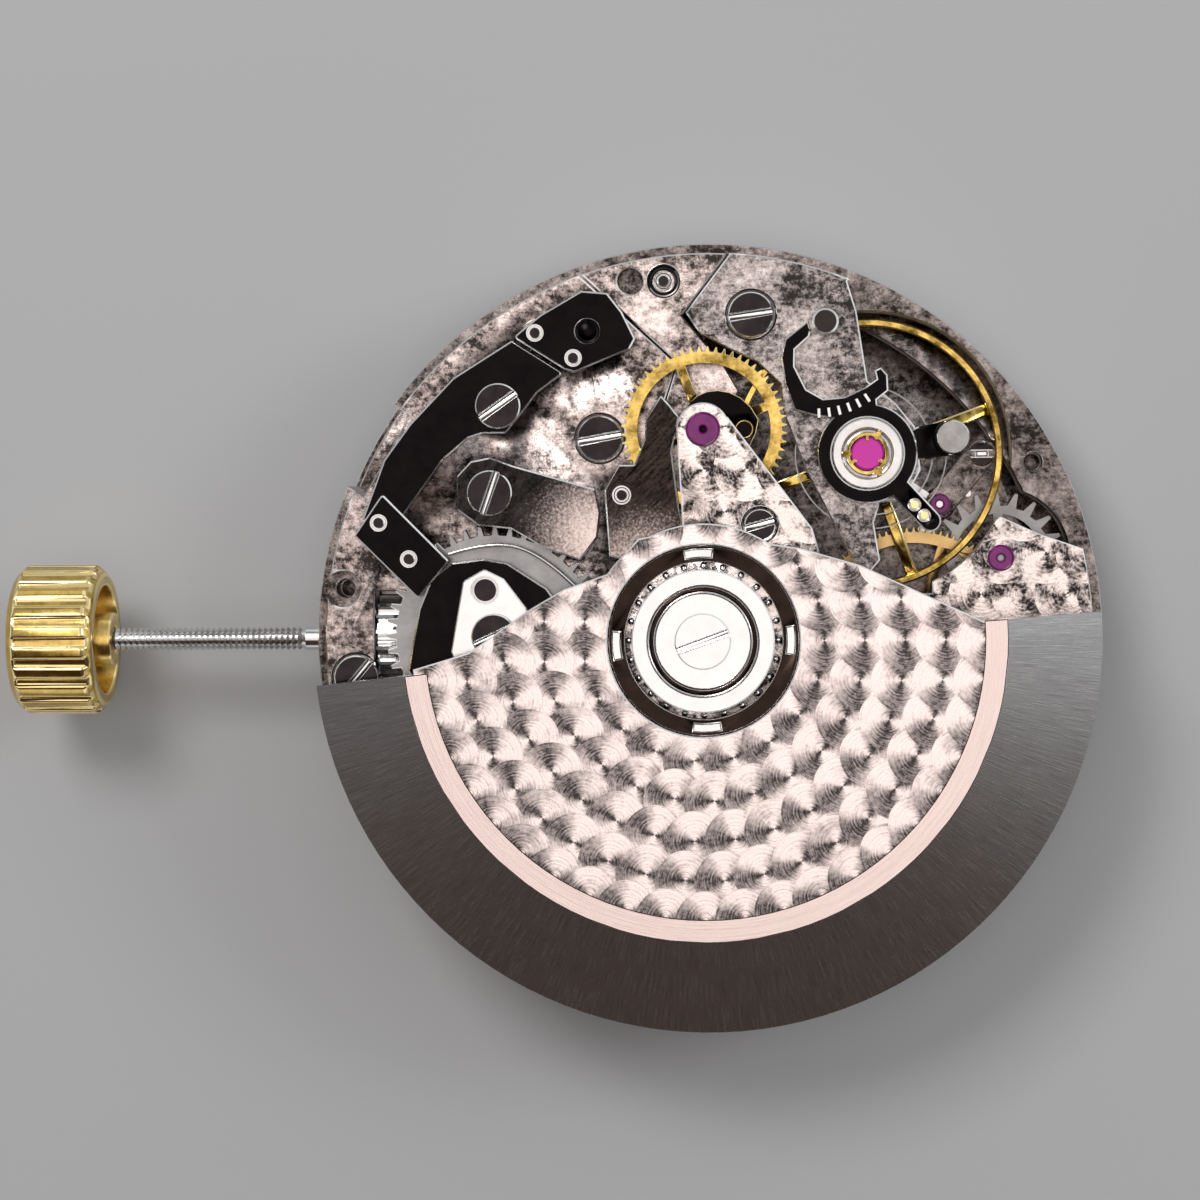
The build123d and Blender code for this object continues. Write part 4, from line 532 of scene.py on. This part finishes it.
grained_metal = speckled_metal("speckled_bridge", (0.035, 0.029, 0.027), (0.98, 0.83, 0.79))
cock_metal = speckled_metal("speckled_cock", (0.030, 0.027, 0.026), (0.74, 0.66, 0.64))
bridge_metal = spotted_metal(
    "spotted_bridge", (0.022, 0.019, 0.019), (1.0, 0.88, 0.84),
    pitch=bridge_spot_pitch, ringed=False, speckle=1.1, waver=14,
)
# Near-black steel for the floors of the two small holes: painted shade.
hole_shade = polished_metal("hole_shade", 0.004, 0.02, roughness=0.3)
edged("barrel_bridge", bridge_edge, [grained_metal, bright_edge, turned_metal], walls_plain)
edged("chronograph_plate", bridge_edge, [grained_metal, bright_edge, turned_metal, hole_shade], holes_dark)
edged("balance_cock", bridge_edge, [cock_metal, bright_edge, turned_metal], walls_plain)
edged("train_bridge", train_bridge_edge, [bridge_metal, bright_edge])
edged("automatic_bridge", bridge_edge, [bridge_metal, bright_edge])

# Rotor plate
# The thin plated sector that swings on the ball bearing and carries the weight at its rim, polished in round
# spots that ring the middle.
rotor_edge = 0.05
rotor_spot_pitch = 1.50
rotor_metal = spotted_metal(
    "spotted_rotor", (0.050, 0.045, 0.044), (1.0, 0.88, 0.86),
    pitch=rotor_spot_pitch, ringed=True, speckle=0.45, waver=4,
)
edged("rotor_plate", rotor_edge, [rotor_metal, bright_edge])

# Rotor weight
# A half ring of heavy metal, fixed along the rim of the rotor plate. Its flat land is brushed round, and its
# wide bevel outwards. The bevel is painted darker and greyer than the land, as painted shade, and the broken
# edges are painted near black, as the painted shadow of the gap beside the rotor plate.
bevel_start = 11.31
fine_angle = math.radians(12)


def brushed_weight():
    """Brushed metal, with lines that run round the land and outwards over the bevel, painted darker as
    painted shade.
    """
    finish = Finish("brushed_weight", Metallic=1.0)
    _, (x, y, z) = finish.here()
    radius = (x * x + y * y) ** 0.5
    angle = y.sum("ARCTAN2", x)
    bevel = radius > bevel_start
    outward = finish.noise(finish.vector(angle * 260, radius * 0.8, 0), detail=3, roughness=0.7)
    around = finish.noise(finish.vector(radius * 26, angle * 2.5, z), detail=3, roughness=0.7)
    grain = bevel * outward + (1 - bevel) * around
    land = finish.blend(grain, shade((0.62, 0.50, 0.48)), shade((1.0, 0.86, 0.82)))
    # The bevel's colour is a darker, greyer copy of the land's: painted shade.
    shaded_slope = finish.blend(grain, shade((0.34, 0.33, 0.32)), shade((0.72, 0.71, 0.70)))
    finish.set("Base Color", finish.blend(bevel, land, shaded_slope))
    finish.set("Roughness", grain * 0.12 + 0.20)
    finish.set("Normal", finish.bump(grain, depth=0.006, strength=0.8))
    return finish


# Near-black steel painted as shade: in the gap by the rotor weight, between the bearing's tabs, in its
# groove.
gap_shade = polished_metal("gap_shade", (0.008, 0.006, 0.005), (0.05, 0.032, 0.025), roughness=0.20)
# The weight's broken edges are painted near black, as the painted shadow of the gap beside the rotor plate.
edged("rotor_weight", thin_edge, [brushed_weight(), gap_shade], sharp=fine_angle)

# Rotor bearing
# Hardened steel races with small balls between them. The outer race turns with the rotor and has four bright
# tabs over a dark gap. The inner race has a turned groove and stands on the automatic bridge. The race
# between the tabs and the floor of the groove are painted near black, as painted shade.
ball_count = 24
ball_fineness = 3
tab_foot = 7.10 * mm
groove_shallow = 0.04 * mm
groove_deep = 0.30 * mm
facing_up = 0.9
facing_down = -0.5


def grown(name, finish, sizes, build):
    """A piece that a node tree builds from named sizes, as a plain mesh in one finish."""
    group = bpy.data.node_groups.new(name, "GeometryNodeTree")
    for title, (kind, _) in sizes.items():
        group.interface.new_socket(title, in_out="INPUT", socket_type="NodeSocket" + kind)
    group.interface.new_socket("Geometry", in_out="OUTPUT", socket_type="NodeSocketGeometry")
    tree = Tree(group)
    given = group.nodes.new("NodeGroupInput")
    spread = build(tree, *[Value(tree, socket) for socket in given.outputs[:len(sizes)]])
    solid = tree.node("GeometryNodeRealizeInstances", {}, {"Geometry": spread})
    inputs = {"Geometry": solid, "Material": finish.material}
    coated = tree.node("GeometryNodeSetMaterial", {}, inputs)
    tree.feed(group.nodes.new("NodeGroupOutput").inputs[0], coated)
    piece = place_object(name, bpy.data.meshes.new(name))
    maker = piece.modifiers.new(name, "NODES")
    maker.node_group = group
    for socket in group.interface.items_tree:
        if socket.in_out == "INPUT":
            maker[socket.identifier] = sizes[socket.name][1]
    plain_mesh(piece)
    return piece


def ring_of_balls(tree, count, reach, height, radius):
    """Balls on the points of a raised circle."""
    circle = tree.node("GeometryNodeMeshCircle", {}, {"Vertices": count, "Radius": reach})
    inputs = {"Geometry": circle, "Translation": tree.vector(0, 0, height)}
    raised = tree.node("GeometryNodeTransform", {}, inputs)
    inputs = {"Radius": radius, "Subdivisions": ball_fineness}
    ball = tree.node("GeometryNodeMeshIcoSphere", {}, inputs)
    return tree.node("GeometryNodeInstanceOnPoints", {}, {"Points": raised, "Instance": ball})


def tabs_bright(mesh):
    """The tabs stand above the race and are bright, and the race between them is painted dark as shade in the
    gap.
    """
    for face in mesh.faces:
        top = max(vert.co.z for vert in face.verts)
        if top > tab_foot and face.normal.z > facing_down:
            face.material_index = edge_slot


def groove_dark(mesh):
    """The floor of the turned groove is painted dark, as painted shade."""
    top = max(vert.co.z for vert in mesh.verts)
    for face in mesh.faces:
        depth = top - face.calc_center_median().z
        if face.normal.z > facing_up and groove_shallow < depth < groove_deep:
            face.material_index = extra_slot


steel = polished_metal("polished_steel", 0.55, 0.88, roughness=0.09)
ball_low, ball_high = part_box("bearing_balls")
ball_radius = (ball_high[2] - ball_low[2]) / 2
ball_sizes = {
    "Count": ("Int", ball_count),
    "Reach": ("Float", ball_high[0] - ball_radius),
    "Height": ("Float", (ball_high[2] + ball_low[2]) / 2),
    "Radius": ("Float", ball_radius),
}
balls = grown("bearing_ball_ring", steel, ball_sizes, ring_of_balls)
balls.data.shade_smooth()
paint(steel, "bearing_balls")
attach(balls, home["bearing_balls"])
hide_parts("bearing_balls")
edged("bearing_outer_race", thin_edge, [gap_shade, bright_edge], tabs_bright)
edged("bearing_inner_race", rotor_edge, [bright_edge, bright_edge, gap_shade], groove_dark)

# Screws and pins
# Steel screws with black polished heads, whose rims and slots catch the light, and plain steel pins that are
# pressed in. The heads and the tops of the pins are painted near black, as a painted dark reflection. The
# screw in the middle of the rotor is bright all over.
head_edge = 0.05
pin_edge = 0.08
slot_depth = 0.09 * mm
slot_shallowest = slot_depth / 2
slot_deepest = 6 * slot_depth
hub_screw_reach = 1.2 * mm


def slots_bright(mesh):
    """Brightens the slots, the level faces between a head's top and foot, and draws them shallow."""
    left = set(mesh.verts)
    while left:
        group = {left.pop()}
        fresh = list(group)
        while fresh:
            for edge in fresh.pop().link_edges:
                for vert in edge.verts:
                    if vert in left:
                        left.discard(vert)
                        group.add(vert)
                        fresh.append(vert)
        top = max(vert.co.z for vert in group)
        middle = sum((vert.co for vert in group), Vector()) / len(group)
        in_hub = middle.xy.length < hub_screw_reach
        for face in {face for vert in group for face in vert.link_faces}:
            depth = top - face.calc_center_median().z
            is_slot = face.normal.z > facing_up and slot_shallowest < depth < slot_deepest
            if is_slot:
                for vert in face.verts:
                    vert.co.z = top - slot_depth
            if is_slot or in_hub:
                face.material_index = edge_slot


# The screw heads and the pins are painted near black, as a painted dark reflection of their polish.
mirror_heads_painted_black = polished_metal("mirror_heads_painted_black", (0.006, 0.006, 0.008), (0.055, 0.045, 0.045), roughness=0.10)
edged("slotted_screws", head_edge, [mirror_heads_painted_black, bright_edge], slots_bright, sides=(1, -1))
edged("pins", pin_edge, [mirror_heads_painted_black, bright_edge])

# Black polished steel
# Levers and covers of the chronograph and of the winding work, screwed to the bridges or turning on posts.
# They are polished flat, so that they show black between bright edges, and their colour is painted near black
# as a painted dark reflection of that polish.
lever_edge = 0.06
hammer_shine = (-2.2, 2.3)
spring_shine = (-4.1, 3.9)
shine_reach = 2.9
shine_full = -0.3


def worn_black(name, light, across, shine):
    """Black steel with the lines of the stone that it was drawn over, painted near black as a dark
    reflection, with a painted highlight that turns it bright round one place.
    """
    finish = Finish(name, Metallic=1.0)
    place, (x, y, _) = finish.here()
    drawn = finish.vector((x - y) * across, (x + y) * 0.7, 0)
    lines = finish.noise(drawn, detail=3, roughness=0.7)
    grit = finish.noise(place, scale=9, detail=4, roughness=0.8)
    away = ((x - shine[0]) ** 2 + (y - shine[1]) ** 2) ** 0.5
    # Painted highlight: the colour turns pale round one place, as a sheen of light on the polish.
    painted_sheen = finish.step(away + (grit - 0.5) * 5, shine_reach, shine_full)
    tone = (lines * 0.7 + grit * 0.6 - 0.65) * 2.4 + 0.30
    colour = finish.blend(tone, shade(0.004), shade(light))
    finish.set("Base Color", finish.blend(painted_sheen, colour, shade((0.80, 0.68, 0.64))))
    finish.set("Roughness", grit * 0.2 + 0.14)
    finish.set("Normal", finish.bump(lines, depth=0.004))
    return finish


# Polished steel painted near black: a painted dark reflection, for the levers, covers, heart cam, index and
# stud.
black_steel = polished_metal(
    "black_steel", (0.003, 0.003, 0.004), (0.013, 0.010, 0.010), roughness=0.12, scratch=10, depth=0.002
)
for name in ("lever_end_plate", "lever_retaining_plate", "operating_lever", "winding_cover"):
    edged(name, lever_edge, [black_steel, bright_edge])
# The reset hammer and the spring plate each carry a painted highlight round a given place.
hammer_grain_and_sheen = worn_black("hammer_grain_and_sheen", (0.085, 0.060, 0.050), across=6, shine=hammer_shine)
spring_grain_and_sheen = worn_black("spring_grain_and_sheen", (0.060, 0.052, 0.050), across=2, shine=spring_shine)
edged("reset_hammer", lever_edge, [hammer_grain_and_sheen, bright_edge])
edged("hammer_spring_plate", lever_edge, [spring_grain_and_sheen, bright_edge])

# Gilt brass
# Wheels of the train, the balance, the counter wheel, the spring of the shock setting and the crown, of brass
# or gilt and polished. The wheels are riveted on their arbors, and the crown is screwed on the stem.
balance_edge = 0.06
wheel_edge = 0.02
crown_edge = 0.09
heart_floor = 5.525 * mm


def shaded_gold():
    """Polished gilt metal, which shows olive shadows between its lights."""
    finish = Finish("shaded_gold", Metallic=1.0)
    place, _ = finish.here()
    shadows = finish.noise(place, scale=0.75, detail=4, roughness=0.7)
    tone = (shadows - 0.5) * 4.2 + 0.55
    finish.set("Base Color", finish.blend(tone, shade((0.13, 0.085, 0.012)), shade((0.98, 0.68, 0.20))))
    finish.set("Roughness", shadows * 0.12 + 0.06)
    return finish


def worn_gold():
    """Gilt metal with a fine grain and small worn patches that are darker or brighter."""
    finish = Finish("worn_gold", Metallic=1.0)
    place, (x, y, z) = finish.here()
    wear = finish.noise(place, scale=1.6, detail=4, roughness=0.7)
    grain = finish.noise(finish.vector(x * 9, y * 2, z * 2), detail=3, roughness=0.7)
    tone = (wear - 0.5) * 1.8 + grain * 0.4 + 0.35
    finish.set("Base Color", finish.blend(tone, shade((0.42, 0.27, 0.05)), shade((0.92, 0.66, 0.22))))
    finish.set("Roughness", wear * 0.22 + 0.10)
    finish.set("Normal", finish.bump(grain + wear, depth=0.006, strength=0.5))
    return finish


def heart_black(mesh):
    """The heart cam stands on the wheel and is painted near black, as a painted dark reflection of its
    polish.
    """
    for face in mesh.faces:
        if face.calc_center_median().z > heart_floor:
            face.material_index = extra_slot


gold = shaded_gold()
gold_edge = polished_metal("gold_edge", (0.95, 0.72, 0.30), (1.0, 0.86, 0.48), roughness=0.12)
train_brass = polished_metal("train_brass", (0.42, 0.25, 0.08), (0.92, 0.66, 0.32), roughness=0.20)
edged("balance_wheel", balance_edge, [gold, gold_edge])
edged("shock_spring", wheel_edge, [gold, gold_edge])
edged("seconds_wheel", wheel_edge, [train_brass, gold_edge])
paint(
    train_brass, "barrel", "second_wheel", "third_wheel", "minute_wheel", "hour_wheel",
    "date_driving_wheel", "chronograph_wheel", "minute_counter_idler", "reversing_wheel",
)
edged("minute_counter_wheel", wheel_edge, [gold, gold_edge, black_steel], heart_black)
edged("crown", crown_edge, [worn_gold(), gold_edge], sides=())

# Regulator and shock setting
# The index of black polished steel, painted near black as a painted dark reflection, turns on the ring of the
# shock setting. Its two gilt curb pins hold the hairspring, and white marks along its scale show how far it
# is turned. The stud holds the end of the hairspring.
index_edge = 0.055
stud_edge = 0.06
setting_edge = 0.05
curb_places = [(7.905, 5.01), (8.265, 4.605)]
curb_reach = 0.24
stud_place = (9.345, 7.53)
stud_reach = 0.66
stud_floor = 5.60
mark_middle = Vector((4.281, 11.90, 5.60)) * mm
mark_start = math.radians(-89)
mark_sizes = {
    "Marks": ("Int", 6),
    "Step": ("Float", math.radians(6.43)),
    "Reach": ("Float", 3.42 * mm),
    "Bar": ("Vector", (0.34 * mm, 0.10 * mm, 0.012 * mm)),
}


def curbs_gold(mesh):
    """The heads of the curb pins are gilt."""
    for face in mesh.faces:
        middle = face.calc_center_median() / mm
        if any(math.hypot(middle.x - x, middle.y - y) < curb_reach for x, y in curb_places):
            face.material_index = extra_slot


def stud_bright(mesh):
    """The round head over the stud is plain polished steel."""
    for face in mesh.faces:
        middle = face.calc_center_median() / mm
        away = math.hypot(middle.x - stud_place[0], middle.y - stud_place[1])
        if middle.z > stud_floor and away < stud_reach:
            face.material_index = extra_slot


def arc_of_marks(tree, marks, turn_step, reach, bar):
    """Bars along an arc, each pointing away from its middle."""
    line = tree.node("GeometryNodeMeshLine", {}, {"Count": marks, "Offset": (0, 0, 0)})
    turned = tree.node("GeometryNodeInputIndex", {}, {}) * turn_step
    place = tree.vector(turned.sum("COSINE") * reach, turned.sum("SINE") * reach, 0)
    spread = tree.node("GeometryNodeSetPosition", {}, {"Geometry": line, "Position": place})
    block = tree.node("GeometryNodeMeshCube", {}, {"Size": bar})
    inputs = {"Points": spread, "Instance": block, "Rotation": tree.vector(0, 0, turned)}
    return tree.node("GeometryNodeInstanceOnPoints", {}, inputs)


edged("regulator_index", index_edge, [black_steel, bright_edge, gold_edge], curbs_gold)
stud_steel = polished_metal("stud_steel", 0.10, 0.50, roughness=0.08)
edged("stud_carrier", stud_edge, [black_steel, bright_edge, stud_steel], stud_bright)
white_mark = polished_metal("white_mark", 0.75, 0.95, roughness=0.30)
marks = grown("scale_marks", white_mark, mark_sizes, arc_of_marks)
marks.data.transform(Matrix.Translation(mark_middle) @ Matrix.Rotation(mark_start, 4, "Z"))
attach(marks, home["regulator_index"])
edged("shock_setting", setting_edge, [steel, bright_edge])

# Polished steel
# Springs, pinions, the click work, the keyless work and the stem, of hardened steel, polished bright and
# almost smooth. The crown wheel and the hairspring are greyer, and the escape wheel is painted grey as
# painted shade, for it lies in shadow.
click_edge = 0.05
pinion_edge = 0.04
edged("click_plate", click_edge, [bright_edge, bright_edge])
paint(
    steel, "wire_spring", "click", "reversing_pinion", "barrel_arbor", "mainspring", "ratchet_wheel",
    "sliding_pinion", "stem", "setting_lever", "yoke", "setting_wheel", "intermediate_setting_wheel",
    "pallet_fork", "cannon_pinion", "oscillating_pinion",
)
edged("winding_pinion", pinion_edge, [steel, bright_edge])
grey_and_shaded_steel = polished_metal("grey_and_shaded_steel", 0.16, 0.45, roughness=0.20)
edged("crown_wheel", thin_edge, [grey_and_shaded_steel, bright_edge])
# The escape wheel is painted grey as painted shade; the crown wheel and the hairspring share this grey.
paint(grey_and_shaded_steel, "hairspring", "escape_wheel")

# Jewels
# Pierced synthetic rubies, clear and deep pink, pressed into the plates as bearings for the pivots. The one
# over the balance is painted brighter, as a painted highlight.
jewel_edge = 0.06
balance_place = (6.15, 6.945)
balance_jewel_rim = (1.3, 0.9)


def ruby_finish():
    """Ruby in uneven shades, painted brighter over the balance as a painted highlight."""
    finish = Finish("ruby", Metallic=0.0, IOR=1.5)
    place, (x, y, _) = finish.here()
    cloud = finish.noise(place, scale=2.5, detail=2)
    to_balance = ((x - balance_place[0]) ** 2 + (y - balance_place[1]) ** 2) ** 0.5
    # Painted highlight: the jewel over the balance is painted a brighter pink.
    balance_painted_highlight = finish.step(to_balance, *balance_jewel_rim)
    plain = finish.blend(cloud, shade((0.05, 0.0, 0.06)), shade((0.34, 0.01, 0.24)))
    finish.set("Base Color", finish.blend(balance_painted_highlight, plain, shade((0.72, 0.02, 0.42))))
    finish.set("Roughness", cloud * 0.05 + 0.03)
    return finish


ruby = ruby_finish()
edged("jewels", jewel_edge, [ruby, ruby])

# Date ring
# A painted metal ring with inner teeth, which lies loose under the calendar plate and turns one step a day.
# The days are printed on its dial side.
days = 31
day_height = 1.25
day_thickness = 0.004
day_reach = 12.30
first_day_angle = 90


def painted(name, dark, light):
    """Smooth paint with a very fine grain."""
    finish = Finish(name, Metallic=0.0)
    place, _ = finish.here()
    grain = finish.noise(place, scale=30, detail=2)
    finish.set("Base Color", finish.blend(grain, shade(dark), shade(light)))
    finish.set("Roughness", grain * 0.1 + 0.45)
    finish.set("Normal", finish.bump(grain, depth=0.003, strength=0.4))
    return finish


def printed_days():
    """The numbers of the days, drawn on the dial side of the ring."""
    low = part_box("date_ring")[0][2] - day_thickness * mm
    gathered = bmesh.new()
    for day in range(1, days + 1):
        words = bpy.data.curves.new("day", "FONT")
        words.body = str(day)
        words.size = day_height * mm
        words.extrude = day_thickness * mm
        words.align_x = "CENTER"
        words.align_y = "CENTER"
        writing = place_object("day", words)
        bpy.context.view_layer.update()
        graph = bpy.context.evaluated_depsgraph_get()
        flat = bpy.data.meshes.new_from_object(writing.evaluated_get(graph))
        turned = Matrix.Rotation(math.radians(first_day_angle - 360 * day / days), 4, "Z")
        facing = Matrix.Rotation(math.pi, 4, "Y")
        flat.transform(turned @ Matrix.Translation((0, day_reach * mm, low)) @ facing)
        gathered.from_mesh(flat)
        bpy.data.objects.remove(writing)
        bpy.data.curves.remove(words)
        bpy.data.meshes.remove(flat)
    data = bpy.data.meshes.new("day_numbers")
    gathered.to_mesh(data)
    gathered.free()
    piece = place_object("day_numbers", data)
    data.materials.append(painted("day_paint", 0.02, 0.05).material)
    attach(piece, home["date_ring"])


paint(painted("date_paint", 0.80, 0.90), "date_ring")
printed_days()

# Floor finish
# The floor is matt and of one pale colour, so that the edges of the movement and its shadow stand out. It is
# no part of the movement, and is painted last.
floor_roughness = 0.75
floor_finish = Finish("floor", Roughness=floor_roughness)
floor_finish.set("Base Color", floor_colour)
floor.data.materials.append(floor_finish.material)
